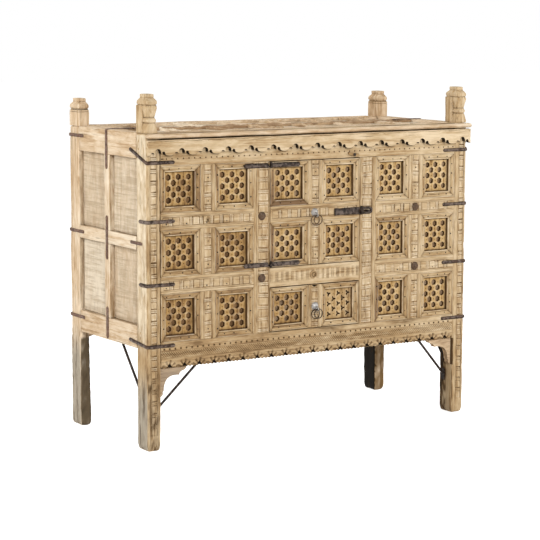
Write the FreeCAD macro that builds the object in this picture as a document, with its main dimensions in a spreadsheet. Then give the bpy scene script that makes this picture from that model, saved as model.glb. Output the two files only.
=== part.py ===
# Dowry cabinet on legs: a post-and-rail chest with framed lattice panels on the front,
# an inset door on strap hinges with a hasp, and one drawer below the door.
# Frame: millimetres, +Z up, front towards -Y, origin on the floor under the middle of the whole box.
import FreeCAD
import Part
import math
import operator
import os
import Sketcher

# Driving dimensions, each one a cell of the sheet
SIZES = {
    # carcass
    "body_width": 1374,
    "body_depth": 591,
    "top_height": 1110,
    "post_width": 55,
    "post_depth": 79,
    # wood hewn off the inner face of the back left leg, at the back rail and at the floor
    "hewn_top": 15,
    "hewn_foot": 8,
    "frame_thickness": 40,
    # levels of the front; the bottom of the apron is measured down from the top
    "apron_bottom": 820,
    "apron_height": 92,
    "lower_row_height": 170,
    "upper_row_height": 164,
    "bay_rail_height": 58.5,
    "drawer_opening_height": 163,
    "drawer_rail_height": 70,
    # widths of the front
    "door_shift": 5.5,
    "door_opening_width": 389,
    "left_stile_width": 66,
    "right_stile_width": 70,
    "muntin_width": 57,
    "door_gap": 2.5,
    "door_rail_height": 58,
    "door_plank_count": 3,
    # mitred mouldings and lattice plates
    "strip_width": 24,
    "strip_depth": 18,
    "strip_lip": 9,
    "lattice_thickness": 10,
    "lattice_seat": 12,
    "lattice_margin": 7.5,
    "lattice_hole_radius": 9,
    "slit_length": 12,
    "slit_width": 5,
    # scalloped fascia, nosing and top
    "fascia_thickness": 20,
    "fascia_height": 55,
    "fascia_overhang": 4,
    "shadow_gap": 4,
    "scallop_pitch": 93.2,
    "arch_width": 38,
    "arch_rise": 14,
    "lobe_drop": 10,
    "nosing_projection": 27,
    "nosing_height": 18,
    "nosing_overhang": 6,
    "top_board_thickness": 18,
    "top_recess": 8,
    "top_long_rail_width": 46,
    "top_bar_width": 40,
    "top_panel_count": 7,
    # apron fringe
    "fringe_pitch": 59.8,
    "fringe_notch_width": 22,
    # sides and back; the low rails are measured up from the bottom of the apron,
    # the middle rail down from halfway between the other two
    "side_top_rail_height": 89,
    "side_middle_rail_bottom": 26,
    "side_middle_rail_height": 47,
    "side_bottom_rail_bottom": 67,
    "side_bottom_rail_height": 80,
    "side_muntin_width": 42,
    "side_panel_recess": 18,
    "side_panel_thickness": 12,
    "back_bottom_rail_bottom": 45,
    "back_bottom_rail_height": 95,
    "back_board_count": 8,
    "back_board_thickness": 14,
    "back_board_recess": 14,
    # floor and drawer case
    "floor_drop": 6,
    "floor_thickness": 16,
    "floor_board_count": 4,
    "bearer_size": 25,
    "cheek_thickness": 14,
    "dust_board_thickness": 12,
    "drawer_gap": 3,
    "drawer_depth": 470,
    "drawer_side_height": 128,
    "drawer_side_thickness": 14,
    "drawer_bottom_thickness": 9,
    "runner_width": 30,
    "slide_clearance": 0.3,
    # finials
    "finial_width": 47,
    "finial_front_depth": 42,
    "front_neck_height": 95,
    "back_neck_height": 60,
    "bell_height": 36,
    "bell_radius": 21.5,
    "waist_radius": 16.5,
    "neck_ring_height": 12,
    "neck_ring_radius": 20,
    "cap_flare_height": 5,
    "cap_band_height": 12,
    "cap_slope_height": 10,
    "cap_slab_height": 12,
    "cap_inset": 7,
    "neck_inset": 3,
    # brackets and brace rods
    "bracket_reach": 106,
    "bracket_drop": 100,
    "bracket_thickness": 22,
    "bracket_setback": 9,
    "bracket_upper_cusp_reach": 76,
    "bracket_upper_cusp_drop": 27,
    "bracket_lower_cusp_reach": 13,
    "bracket_lower_cusp_drop": 80,
    "rod_radius": 4.6,
    "left_front_rod_run": 223,
    "left_front_rod_foot": 130,
    "right_front_rod_run": 163,
    "right_front_rod_foot": 146,
    "front_rod_setback": 52,
    "left_side_rod_run": 159,
    "left_side_rod_foot": 173,
    "right_side_rod_run": 135,
    "right_side_rod_foot": 190,
    "rod_plate_height": 44,
    "rod_plate_width": 20,
    # iron straps, each measured from the bottom edge of the rail that it crosses
    "strap_thickness": 3,
    "corner_strap_thickness": 5,
    "corner_strap_height": 14,
    "corner_strap_reach": 108,
    "eaves_strap_level": 12,
    "eaves_strap_run": 122,
    "eaves_strap_rise": 44,
    "upper_strap_level": 30.5,
    "lower_strap_level": 33,
    "middle_strap_run": 55,
    "apron_strap_level": 81,
    "apron_strap_run": 130,
    "apron_strap_rise": 13,
    "back_strap_height": 12,
    "back_strap_side_run": 120,
    "back_strap_reach": 90,
    "back_strap_top_level": 55,
    "back_strap_middle_level": 24,
    "back_strap_bottom_level": 56,
    "side_strap_width": 18,
    "side_strap_top_bottom": 53,
    "side_strap_top_reach": 135,
    "side_strap_middle_bottom": 58,
    "side_strap_middle_height": 160,
    "side_strap_low_bottom": 3,
    "side_strap_low_height": 118,
    "side_tie_run": 88,
    "side_tie_start": 32,
    "side_tie_level": 25,
    # studs, rosette and pulls
    "stud_radius": 15.5,
    "stud_rise": 8,
    "rosette_radius": 15,
    "rosette_rise": 5,
    "rosette_shift": -8,
    "pull_shift": -4,
    "boss_radius": 15,
    "boss_rise": 10,
    "eye_radius": 7.5,
    "eye_wire_radius": 1.5,
    "eye_reach": 15,
    "eye_drop": 8,
    "ring_radius": 17,
    "ring_wire_radius": 1.6,
    "ring_spacing": 3.9,
    "ring_hang": 3.2,
    "ring_splay": 27,
    # door hinges
    "hinge_strap_height": 18,
    "hinge_stile_reach": 110,
    "hinge_door_reach": 126,
    "hinge_inset": 11,
    "knuckle_radius": 6,
    "knuckle_gap": 0.3,
    "plate_gap": 0.5,
    "face_gap": 0.3,
    "pin_radius": 2.5,
    "pin_clearance": 0.05,
    "pin_head_radius": 4,
    "pin_head_height": 3,
    # hasp and staple
    "hasp_height": 28,
    "hasp_thickness": 4,
    "hasp_drop": 4,
    "hasp_strap_reach": 117,
    "hasp_leaf_reach": 53,
    "hasp_axis_offset": 3,
    "staple_width": 14,
    "staple_thickness": 5,
    "staple_reach": 13,
    "staple_bore_radius": 4,
    "staple_distance": 23,
    "slot_play_inner": 2.5,
    "slot_play_outer": 2.5,
    "slot_play_height": 2,
    # turn button
    "button_length": 50,
    "button_height": 13,
    "button_thickness": 8,
    "button_tilt": 12,
    "button_from_door_edge": 32,
    "button_above_door": 12,
    "button_gap": 0.4,
    "button_head_radius": 5.5,
}

doc = FreeCAD.newDocument("dowry_cabinet")
sheet = doc.addObject("Spreadsheet::Sheet", "Sizes")
for row, (size_name, size_number) in enumerate(SIZES.items(), start=1):
    sheet.set(f"A{row}", size_name)
    sheet.set(f"B{row}", str(size_number))
    sheet.setAlias(f"B{row}", size_name)
doc.recompute()

OPERATIONS = {"+": operator.add, "-": operator.sub, "*": operator.mul, "/": operator.truediv}


class Dim:
    """A length known twice: as sheet text that binds a property, and as a number for a first draft."""

    def __init__(self, text, number):
        self.text = text
        self.number = float(number)

    def __add__(self, other):
        return join(self, "+", other)

    def __radd__(self, other):
        return join(other, "+", self)

    def __sub__(self, other):
        return join(self, "-", other)

    def __rsub__(self, other):
        return join(other, "-", self)

    def __mul__(self, other):
        return join(self, "*", other)

    def __rmul__(self, other):
        return join(other, "*", self)

    def __truediv__(self, other):
        return join(self, "/", other)

    def __neg__(self):
        return join(0, "-", self)


def as_dim(value):
    """A plain number becomes a Dim; a Dim stays what it is."""
    if isinstance(value, Dim):
        return value
    return Dim(repr(float(value)), value)


def join(left, sign, right):
    left = as_dim(left)
    right = as_dim(right)
    number = OPERATIONS[sign](left.number, right.number)
    return Dim(f"({left.text} {sign} {right.text})", number)


def root(value):
    return Dim(f"sqrt({value.text})", math.sqrt(value.number))


def whole(value):
    return Dim(f"floor({value.text})", math.floor(value.number))


def sine(value):
    return Dim(f"sin({value.text} * 1 deg)", math.sin(math.radians(value.number)))


def cosine(value):
    return Dim(f"cos({value.text} * 1 deg)", math.cos(math.radians(value.number)))


def slope_angle(rise, run):
    """The angle, in degrees, of a line that goes up by rise over run."""
    rise = as_dim(rise)
    run = as_dim(run)
    angle = math.degrees(math.atan2(rise.number, run.number))
    return Dim(f"atan2({rise.text}; {run.text})", angle)


class SizeBook:
    """Every driving dimension as an attribute."""

    def __init__(self, sizes):
        for name, number in sizes.items():
            setattr(self, name, Dim(f"Sizes.{name}", number))


s = SizeBook(SIZES)
ORIGIN = FreeCAD.Vector(0, 0, 0)
ALONG_X = FreeCAD.Vector(1, 0, 0)
ALONG_Y = FreeCAD.Vector(0, 1, 0)
UPRIGHT = FreeCAD.Vector(0, 0, 1)
NO_TURN = FreeCAD.Rotation()
Z_TO_FRONT = FreeCAD.Rotation(ALONG_X, 90)
NODES = []

# Arcs of the carved outlines, in degrees
QUARTER_ARC = 90
FRINGE_ARC = 150
LOBE_ARC = 40
ARCH_ARC = 73
BRACKET_CUSP_ARC = 60
BRACKET_HOLLOW_ARC = 120
# Holes across and up in the fuller rows of a lattice
LATTICE_COLUMNS = 3
LATTICE_ROWS = 5
# Share by which a brace rod is drawn too long at each end before it is trimmed
ROD_OVERRUN = 0.2


def bind(piece, prop, value):
    """Ties one property of a piece to the sheet."""
    piece.setExpression(prop, as_dim(value).text)


def place(piece, x, y, z, turn=NO_TURN):
    piece.Placement = FreeCAD.Placement(ORIGIN, turn)
    for axis, value in zip("xyz", (x, y, z)):
        bind(piece, f"Placement.Base.{axis}", value)


def lean(piece, axis, angle):
    """Turns a placed piece about its own base by a bound angle in degrees."""
    piece.Placement.Rotation = FreeCAD.Rotation(axis, angle.number)
    bind(piece, "Placement.Rotation.Axis.x", axis.x)
    bind(piece, "Placement.Rotation.Axis.y", axis.y)
    bind(piece, "Placement.Rotation.Axis.z", axis.z)
    bind(piece, "Placement.Rotation.Angle", angle)


def primitive(kind, name, sizes, x, y, z, turn=NO_TURN):
    piece = doc.addObject(f"Part::{kind}", name)
    for prop, value in sizes.items():
        bind(piece, prop, value)
    place(piece, x, y, z, turn)
    return piece


def box(name, x, y, z, length, width, height):
    """A board by its low corner and its sizes along X, Y and Z."""
    return primitive("Box", name, {"Length": length, "Width": width, "Height": height}, x, y, z)


def cylinder(name, x, y, z, radius, height, turn=NO_TURN):
    return primitive("Cylinder", name, {"Radius": radius, "Height": height}, x, y, z, turn)


def cone(name, x, y, z, low_radius, high_radius, height):
    sizes = {"Radius1": low_radius, "Radius2": high_radius, "Height": height}
    return primitive("Cone", name, sizes, x, y, z)


def dome(name, x, y, z, radius, rise):
    """A round cap that stands out from the front face."""
    ball = (radius * radius + rise * rise) / (2 * rise)
    flat = ball - rise
    latitude = slope_angle(flat, radius)
    piece = primitive("Sphere", name, {"Radius": ball, "Angle1": latitude}, x, y + flat, z, Z_TO_FRONT)
    return piece


def tapered(name, x, y, z, low, high, height):
    """A block whose plan goes from low (length, width) to high, both centred on x, y."""
    sizes = {
        "Xmin": -low[0] / 2, "Xmax": low[0] / 2, "X2min": -high[0] / 2, "X2max": high[0] / 2,
        "Zmin": -low[1] / 2, "Zmax": low[1] / 2, "Z2min": -high[1] / 2, "Z2max": high[1] / 2,
        "Ymin": 0, "Ymax": height,
    }
    return primitive("Wedge", name, sizes, x, y, z, Z_TO_FRONT)


def fuse(name, pieces):
    piece = doc.addObject("Part::MultiFuse", name)
    piece.Shapes = pieces
    return piece


def cut(name, base, tool):
    piece = doc.addObject("Part::Cut", name)
    piece.Base = base
    piece.Tool = tool
    return piece


def common(name, base, tool):
    piece = doc.addObject("Part::Common", name)
    piece.Base = base
    piece.Tool = tool
    return piece


def group(name, pieces):
    piece = doc.addObject("Part::Compound", name)
    piece.Links = pieces
    return piece


def copy_of(master, name, x, y, z):
    piece = doc.addObject("App::Link", name)
    piece.LinkedObject = master
    place(piece, x, y, z)
    return piece


def node(label, *pieces):
    """Names a finished sub-part; several like pieces become one group of separate solids."""
    piece = pieces[0] if len(pieces) == 1 else group(f"{label}_set", list(pieces))
    piece.Label = label
    NODES.append(piece)
    return piece


def origin_plane(body, role):
    for feature in body.Origin.OriginFeatures:
        if feature.Role == role:
            return feature
    raise RuntimeError(f"{body.Name} has no {role}")


def hold_point(sketch, edge, end, u, v):
    """Fixes one sketch point at u, v from the sketch origin."""
    for kind, axis, value in (("DistanceX", -2, as_dim(u)), ("DistanceY", -1, as_dim(v))):
        if value.text == "0.0":
            sketch.addConstraint(Sketcher.Constraint("PointOnObject", edge, end, axis))
            continue
        index = sketch.addConstraint(Sketcher.Constraint(kind, -1, 1, edge, end, value.number))
        sketch.setExpression(f"Constraints[{index}]", value.text)


def draw(body, role, name, corners):
    """A closed outline. A corner is (u, v), or (u, v, angle) where an arc of that many degrees
    leads to it from the corner before, turning left when the angle is positive."""
    sketch = body.newObject("Sketcher::SketchObject", name)
    sketch.AttachmentSupport = [(origin_plane(body, role), "")]
    sketch.MapMode = "FlatFace"
    count = len(corners)
    ends = []
    for index in range(count):
        start = corners[index - 1]
        goal = corners[index]
        first = FreeCAD.Vector(as_dim(start[0]).number, as_dim(start[1]).number, 0)
        last = FreeCAD.Vector(as_dim(goal[0]).number, as_dim(goal[1]).number, 0)
        if len(goal) == 2:
            edge = sketch.addGeometry(Part.LineSegment(first, last))
            ends.append((edge, 1, 2))
            continue
        half = math.radians(abs(goal[2])) / 2
        chord = last - first
        radius = chord.Length / (2 * math.sin(half))
        left = FreeCAD.Vector(-chord.y, chord.x, 0).normalize()
        side = 1 if goal[2] > 0 else -1
        centre = (first + last) * 0.5 + left * (side * radius * math.cos(half))
        begin, finish = (first, last) if side > 0 else (last, first)
        begin_angle = math.atan2(begin.y - centre.y, begin.x - centre.x)
        finish_angle = math.atan2(finish.y - centre.y, finish.x - centre.x)
        circle = Part.Circle(centre, UPRIGHT, radius)
        edge = sketch.addGeometry(Part.ArcOfCircle(circle, begin_angle, finish_angle))
        ends.append((edge, 1, 2) if side > 0 else (edge, 2, 1))
        du = as_dim(goal[0]) - start[0]
        dv = as_dim(goal[1]) - start[1]
        radius_dim = root(du * du + dv * dv) / (2 * math.sin(half))
        constraint = sketch.addConstraint(Sketcher.Constraint("Radius", edge, radius))
        sketch.setExpression(f"Constraints[{constraint}]", radius_dim.text)
    for index in range(count):
        edge, begin, finish = ends[index]
        after, after_begin, after_finish = ends[(index + 1) % count]
        sketch.addConstraint(Sketcher.Constraint("Coincident", edge, finish, after, after_begin))
        hold_point(sketch, edge, finish, corners[index][0], corners[index][1])
    return sketch


def rectangle(body, role, name, low_u, low_v, high_u, high_v):
    corners = [(low_u, low_v), (high_u, low_v), (high_u, high_v), (low_u, high_v)]
    return draw(body, role, name, corners)


def padded(body, sketch, length, backwards=False):
    pad = body.newObject("PartDesign::Pad", f"{sketch.Name}_pad")
    pad.Profile = sketch
    pad.Reversed = backwards
    bind(pad, "Length", length)
    body.Tip = pad
    return pad


def pocketed(body, sketch):
    """Cuts an outline through everything in front of its plane."""
    pocket = body.newObject("PartDesign::Pocket", f"{sketch.Name}_pocket")
    pocket.Profile = sketch
    pocket.Type = "ThroughAll"
    pocket.Reversed = True
    body.Tip = pocket
    return pocket


def repeated(body, feature, sketch, across, across_count, up=None, up_count=1):
    """Repeats a cut along the sketch's own axes over the given whole lengths."""
    pattern = body.newObject("PartDesign::LinearPattern", f"{feature.Name}_row")
    pattern.Originals = [feature]
    pattern.Direction = (sketch, ["H_Axis"])
    bind(pattern, "Length", across)
    bind(pattern, "Occurrences", across_count)
    if up is not None:
        pattern.Direction2 = (sketch, ["V_Axis"])
        bind(pattern, "Length2", up)
        bind(pattern, "Occurrences2", up_count)
    body.Tip = pattern
    return pattern


# Planes and levels that the pieces share
half = s.body_width / 2
whole_depth = s.nosing_projection + s.body_depth + s.strap_thickness
front = s.nosing_projection - whole_depth / 2
back = front + s.body_depth
inner = half - s.post_width
frame_back = front + s.frame_thickness
back_rail_front = back - s.frame_thickness
inside_depth = s.body_depth - 2 * s.frame_thickness
apron_bottom = s.top_height - s.apron_bottom
apron_top = apron_bottom + s.apron_height
row3_top = apron_top + s.lower_row_height
row2_bottom = row3_top + s.bay_rail_height
row2_top = row2_bottom + s.upper_row_height
row1_bottom = row2_top + s.bay_rail_height
row1_top = row1_bottom + s.upper_row_height
drawer_top = apron_top + s.drawer_opening_height
doorway_bottom = drawer_top + s.drawer_rail_height
doorway_left = s.door_shift - s.door_opening_width / 2
doorway_right = s.door_shift + s.door_opening_width / 2
left_bay_right = doorway_left - s.left_stile_width
right_bay_left = doorway_right + s.right_stile_width
left_bay_width = left_bay_right + inner
right_bay_width = inner - right_bay_left
strip_back = front + s.strip_depth
lattice_back = strip_back + s.lattice_thickness
panel_body = s.strip_depth + s.lattice_thickness
backing_thickness = s.frame_thickness - panel_body
top_underside = s.top_height - s.top_board_thickness
floor_top = apron_top - s.floor_drop
post_back = front + s.post_depth
side_length = s.body_depth - 2 * s.post_depth
back_bottom_rail_bottom = apron_bottom + s.back_bottom_rail_bottom


# Posts and finials

def cap(name, x, y, z, width, depth):
    """The bulged cap and small top slab of a finial, centred on x, y."""
    neck = (width - 2 * s.neck_inset, depth - 2 * s.neck_inset)
    band = (width, depth)
    slab = (width - 2 * s.cap_inset, depth - 4 * s.cap_inset)
    band_z = z + s.cap_flare_height
    slope_z = band_z + s.cap_band_height
    slab_z = slope_z + s.cap_slope_height
    return [
        tapered(f"{name}_flare", x, y, z, neck, band, s.cap_flare_height),
        tapered(f"{name}_band", x, y, band_z, band, band, s.cap_band_height),
        tapered(f"{name}_slope", x, y, slope_z, band, slab, s.cap_slope_height),
        tapered(f"{name}_slab", x, y, slab_z, slab, slab, s.cap_slab_height),
    ]


def finial_left(side):
    """Low X of a finial, which keeps flush with the outer face of its post."""
    return -half if side < 0 else half - s.finial_width


def post_left(side):
    return -half if side < 0 else inner


def front_post(label, side):
    x = finial_left(side)
    middle_x = x + s.finial_width / 2
    baluster_y = front + s.bell_radius
    ring_z = s.top_height + s.bell_height
    cup_z = ring_z + s.neck_ring_height
    cup_height = s.front_neck_height - s.bell_height - s.neck_ring_height
    slab_depth = s.post_depth - s.finial_front_depth
    top = s.top_height
    pieces = [
        box(f"{label}_shaft", post_left(side), front, 0, s.post_width, s.post_depth, top),
        box(f"{label}_slab", x, front + s.finial_front_depth, top,
            s.finial_width, slab_depth, s.front_neck_height),
        cone(f"{label}_bell", middle_x, baluster_y, top, s.bell_radius, s.waist_radius, s.bell_height),
        cylinder(f"{label}_ring", middle_x, baluster_y, ring_z, s.neck_ring_radius, s.neck_ring_height),
        cone(f"{label}_cup", middle_x, baluster_y, cup_z, s.waist_radius, s.bell_radius, cup_height),
    ]
    cap_z = top + s.front_neck_height
    pieces += cap(f"{label}_cap", middle_x, front + s.post_depth / 2, cap_z, s.finial_width, s.post_depth)
    node(label, fuse(f"{label}_whole", pieces))


def hewn_slice(name):
    """The wood that was hewn off the inner face of the back left leg, below the back rail."""
    sizes = {
        "Xmin": -s.hewn_foot, "Xmax": s.post_width, "X2min": -s.hewn_top, "X2max": s.post_width,
        "Zmin": -s.post_depth, "Zmax": s.post_depth, "Z2min": -s.post_depth, "Z2max": s.post_depth,
        "Ymin": 0, "Ymax": back_bottom_rail_bottom,
    }
    return primitive("Wedge", name, sizes, -inner, back - s.post_depth / 2, 0, Z_TO_FRONT)


def back_post(label, side):
    y = back - s.post_depth
    x = finial_left(side)
    pieces = [
        box(f"{label}_shaft", post_left(side), y, 0, s.post_width, s.post_depth, s.top_height),
        box(f"{label}_neck", x, y, s.top_height, s.finial_width, s.post_depth, s.back_neck_height),
    ]
    cap_z = s.top_height + s.back_neck_height
    cap_x = x + s.finial_width / 2
    pieces += cap(f"{label}_cap", cap_x, y + s.post_depth / 2, cap_z, s.finial_width, s.post_depth)
    post = fuse(f"{label}_whole", pieces)
    node(label, cut(f"{label}_hewn", post, hewn_slice(f"{label}_slice")) if side < 0 else post)


front_post("front_left_post", -1)
front_post("front_right_post", 1)
back_post("back_left_post", -1)
back_post("back_right_post", 1)


# Fixed frame of the front

def apron_rail():
    """The bottom rail, its lower edge notched into a fringe."""
    body = doc.addObject("PartDesign::Body", "apron_rail_body")
    board = rectangle(body, "XZ_Plane", "apron_face", -inner, 0, inner, s.apron_height)
    padded(body, board, s.frame_thickness)
    count = whole((2 * inner - s.fringe_notch_width) / s.fringe_pitch) + 1
    first = -(count - 1) * s.fringe_pitch / 2
    left = first - s.fringe_notch_width / 2
    right = first + s.fringe_notch_width / 2
    notch = draw(body, "XZ_Plane", "apron_notch", [(left, 0), (right, 0, -FRINGE_ARC)])
    pocket = pocketed(body, notch)
    repeated(body, pocket, notch, (count - 1) * s.fringe_pitch, count)
    place(body, 0, frame_back, apron_bottom)
    node("apron_rail", body)


apron_rail()
front_top_height = s.top_height - row1_top
node("front_top_rail", box("front_top_board", -inner, front, row1_top,
                           2 * inner, s.frame_thickness, front_top_height))
stile_height = row1_top - apron_top
node("left_door_stile", box("left_stile_board", left_bay_right, front, apron_top,
                            s.left_stile_width, s.frame_thickness, stile_height))
node("right_door_stile", box("right_stile_board", doorway_right, front, apron_top,
                             s.right_stile_width, s.frame_thickness, stile_height))
node("centre_rail", box("centre_rail_board", doorway_left, front, drawer_top,
                        s.door_opening_width, s.frame_thickness, s.drawer_rail_height))


# Framed lattice panels, the same for the bays, the door and the drawer

TURN_OF_STRIP = {"bottom": 0, "right": -90, "top": 180, "left": 90}


def moulding_frame(name, width, height):
    """Four bevelled strips mitred at the corners, centred on the origin, backs on the XZ plane."""
    strips = []
    reach = {
        "bottom": (0, -height / 2), "top": (0, height / 2),
        "left": (-width / 2, 0), "right": (width / 2, 0),
    }
    for side, angle in TURN_OF_STRIP.items():
        length = width if side in ("bottom", "top") else height
        sizes = {
            "Xmin": -length / 2, "Xmax": length / 2,
            "X2min": s.strip_width - length / 2, "X2max": length / 2 - s.strip_width,
            "Ymin": 0, "Ymax": s.strip_width,
            "Zmin": 0, "Zmax": s.strip_depth, "Z2min": 0, "Z2max": s.strip_lip,
        }
        turn = FreeCAD.Rotation(ALONG_Y, angle) * Z_TO_FRONT
        x, z = reach[side]
        strips.append(primitive("Wedge", f"{name}_{side}", sizes, x, 0, z, turn))
    return group(name, strips)


def lattice_plate(name, width, height, hole):
    """A plate with thirteen holes in rows of three and two, centred on the origin, back on XZ."""
    body = doc.addObject("PartDesign::Body", name)
    half_width = width / 2 - s.lattice_seat
    half_height = height / 2 - s.lattice_seat
    plate = rectangle(body, "XZ_Plane", f"{name}_plate", -half_width, -half_height, half_width, half_height)
    padded(body, plate, s.lattice_thickness)
    column = (width - 2 * s.strip_width) / LATTICE_COLUMNS
    row = (height - 2 * s.strip_width - 2 * s.lattice_margin) / LATTICE_ROWS
    for grid, count in (("odd", LATTICE_COLUMNS), ("even", LATTICE_COLUMNS - 1)):
        across = (count - 1) * column
        up = 2 * (count - 1) * row
        outline = hole(-across / 2, -up / 2)
        sketch = draw(body, "XZ_Plane", f"{name}_{grid}_hole", outline)
        repeated(body, pocketed(body, sketch), sketch, across, count, up, count)
    return body


def six_sided_hole(u, v):
    corners = []
    for step in range(6):
        angle = math.radians(60 * step + 30)
        corner_u = u + s.lattice_hole_radius * math.cos(angle)
        corner_v = v + s.lattice_hole_radius * math.sin(angle)
        corners.append((corner_u, corner_v))
    return corners


def three_armed_slit(u, v):
    """A slit with three arms, one of them pointing down."""
    corners = []
    notch = s.slit_width / math.sqrt(3)
    for arm in range(3):
        angle = math.radians(120 * arm - 90)
        along = (math.cos(angle), math.sin(angle))
        across = (-along[1], along[0])
        for edge in (-0.5, 0.5):
            corner_u = u + s.slit_length * along[0] + edge * s.slit_width * across[0]
            corner_v = v + s.slit_length * along[1] + edge * s.slit_width * across[1]
            corners.append((corner_u, corner_v))
        inner_angle = angle + math.radians(60)
        corners.append((u + notch * math.cos(inner_angle), v + notch * math.sin(inner_angle)))
    return corners


def bay_panels():
    """The rails, muntins, mouldings, lattices and backing boards of the two side bays."""
    rails = []
    muntins = []
    frames = []
    lattices = []
    backings = []
    rows = {"upper": (row1_bottom, s.upper_row_height), "middle": (row2_bottom, s.upper_row_height),
            "lower": (apron_top, s.lower_row_height)}
    bays = {"left": (-inner, left_bay_width), "right": (right_bay_left, right_bay_width)}
    for bay, (bay_x, bay_width) in bays.items():
        width = (bay_width - s.muntin_width) / 2
        tall = moulding_frame(f"{bay}_tall_frame", width, s.lower_row_height)
        square = moulding_frame(f"{bay}_square_frame", width, s.upper_row_height)
        tall_plate = lattice_plate(f"{bay}_tall_lattice", width, s.lower_row_height, six_sided_hole)
        square_plate = lattice_plate(f"{bay}_square_lattice", width, s.upper_row_height, six_sided_hole)
        for level, rail_z in (("upper", row2_top), ("lower", row3_top)):
            rails.append(box(f"{bay}_{level}_rail", bay_x, front, rail_z,
                             bay_width, panel_body, s.bay_rail_height))
        for row_name, (row_z, row_height) in rows.items():
            name = f"{bay}_{row_name}"
            muntins.append(box(f"{name}_muntin", bay_x + width, front, row_z,
                               s.muntin_width, panel_body, row_height))
            frame_master = tall if row_name == "lower" else square
            plate_master = tall_plate if row_name == "lower" else square_plate
            for column in range(2):
                x = bay_x + width / 2 + column * (width + s.muntin_width)
                z = row_z + row_height / 2
                frames.append(copy_of(frame_master, f"{name}_frame_{column}", x, strip_back, z))
                lattices.append(copy_of(plate_master, f"{name}_lattice_{column}", x, lattice_back, z))
        backings.append(box(f"{bay}_backing", bay_x, lattice_back, apron_top,
                            bay_width, backing_thickness, stile_height))
    node("bay_rails", *rails)
    node("bay_muntins", *muntins)
    node("bay_mouldings", *frames)
    node("bay_lattices", *lattices)
    node("bay_backing_boards", *backings)


bay_panels()

# Fascia, nosing and top

fascia_top = top_underside - s.shadow_gap


def scalloped_fascia():
    """A board across the posts whose lower edge alternates round lobes and small arches."""
    body = doc.addObject("PartDesign::Body", "fascia_body")
    reach = half + s.fascia_overhang
    board = rectangle(body, "XZ_Plane", "fascia_face", -reach, 0, reach, s.fascia_height)
    padded(body, board, s.fascia_thickness)
    count = whole((2 * reach - s.arch_width) / s.scallop_pitch) + 1
    span = (count - 1) * s.scallop_pitch
    middle = -span / 2
    left_lobe = middle - s.scallop_pitch / 2
    right_lobe = middle + s.scallop_pitch / 2
    outline = [
        (left_lobe, -s.lobe_drop),
        (left_lobe, 0),
        (middle - s.arch_width / 2, s.lobe_drop, LOBE_ARC),
        (middle, s.lobe_drop + s.arch_rise, -ARCH_ARC),
        (middle + s.arch_width / 2, s.lobe_drop, -ARCH_ARC),
        (right_lobe, 0, LOBE_ARC),
        (right_lobe, -s.lobe_drop),
    ]
    scallop = draw(body, "XZ_Plane", "fascia_scallop", outline)
    pocket = pocketed(body, scallop)
    repeated(body, pocket, scallop, span, count)
    place(body, 0, front, fascia_top - s.fascia_height)
    node("scalloped_fascia", body)


def top_nosing():
    """The round-fronted bar that edges the top."""
    body = doc.addObject("PartDesign::Body", "nosing_body")
    straight = s.nosing_height / 2 - s.nosing_projection
    tip = (-s.nosing_projection, s.nosing_height / 2, QUARTER_ARC)
    outline = [(0, 0), (0, s.nosing_height), (straight, s.nosing_height), tip, (straight, 0, QUARTER_ARC)]
    section = draw(body, "YZ_Plane", "nosing_section", outline)
    length = s.body_width + 2 * s.nosing_overhang
    padded(body, section, length)
    place(body, -length / 2, front, s.top_height - s.nosing_height)
    node("top_nosing", body)


scalloped_fascia()
top_nosing()


def top_frame():
    """Long rails and cross bars flush with the top, with thinner panels sunk between them."""
    row_depth = (inside_depth - 3 * s.top_long_rail_width) / 2
    long_rails = []
    bars = []
    panels = []
    bar_count = SIZES["top_panel_count"] - 1
    panel_width = (2 * inner - bar_count * s.top_bar_width) / s.top_panel_count
    panel_thickness = s.top_board_thickness - s.top_recess
    for index in range(3):
        y = frame_back + index * (s.top_long_rail_width + row_depth)
        long_rails.append(box(f"top_long_rail_{index}", -inner, y, top_underside,
                              2 * inner, s.top_long_rail_width, s.top_board_thickness))
    for row_index in range(2):
        y = frame_back + s.top_long_rail_width + row_index * (s.top_long_rail_width + row_depth)
        for column in range(bar_count + 1):
            x = column * (panel_width + s.top_bar_width) - inner
            panels.append(box(f"top_panel_{row_index}_{column}", x, y, top_underside,
                              panel_width, row_depth, panel_thickness))
            if column < bar_count:
                bars.append(box(f"top_bar_{row_index}_{column}", x + panel_width, y, top_underside,
                                s.top_bar_width, row_depth, s.top_board_thickness))
    node("top_long_rails", *long_rails)
    node("top_cross_bars", *bars)
    node("top_panels", *panels)


top_frame()


# Side walls

side_top_rail_bottom = s.top_height - s.side_top_rail_height
side_bottom_rail_bottom = apron_bottom + s.side_bottom_rail_bottom
side_bottom_rail_top = side_bottom_rail_bottom + s.side_bottom_rail_height
side_halfway = (side_bottom_rail_top + side_top_rail_bottom) / 2
side_middle_rail_bottom = side_halfway - s.side_middle_rail_bottom
side_middle_rail_top = side_middle_rail_bottom + s.side_middle_rail_height
SIDES = {"left": -1, "right": 1}


def outer_left(side, depth_in, thickness):
    """Low X of a board whose outer face lies depth_in behind the outer face of the side."""
    return depth_in - half if side < 0 else half - depth_in - thickness


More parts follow.
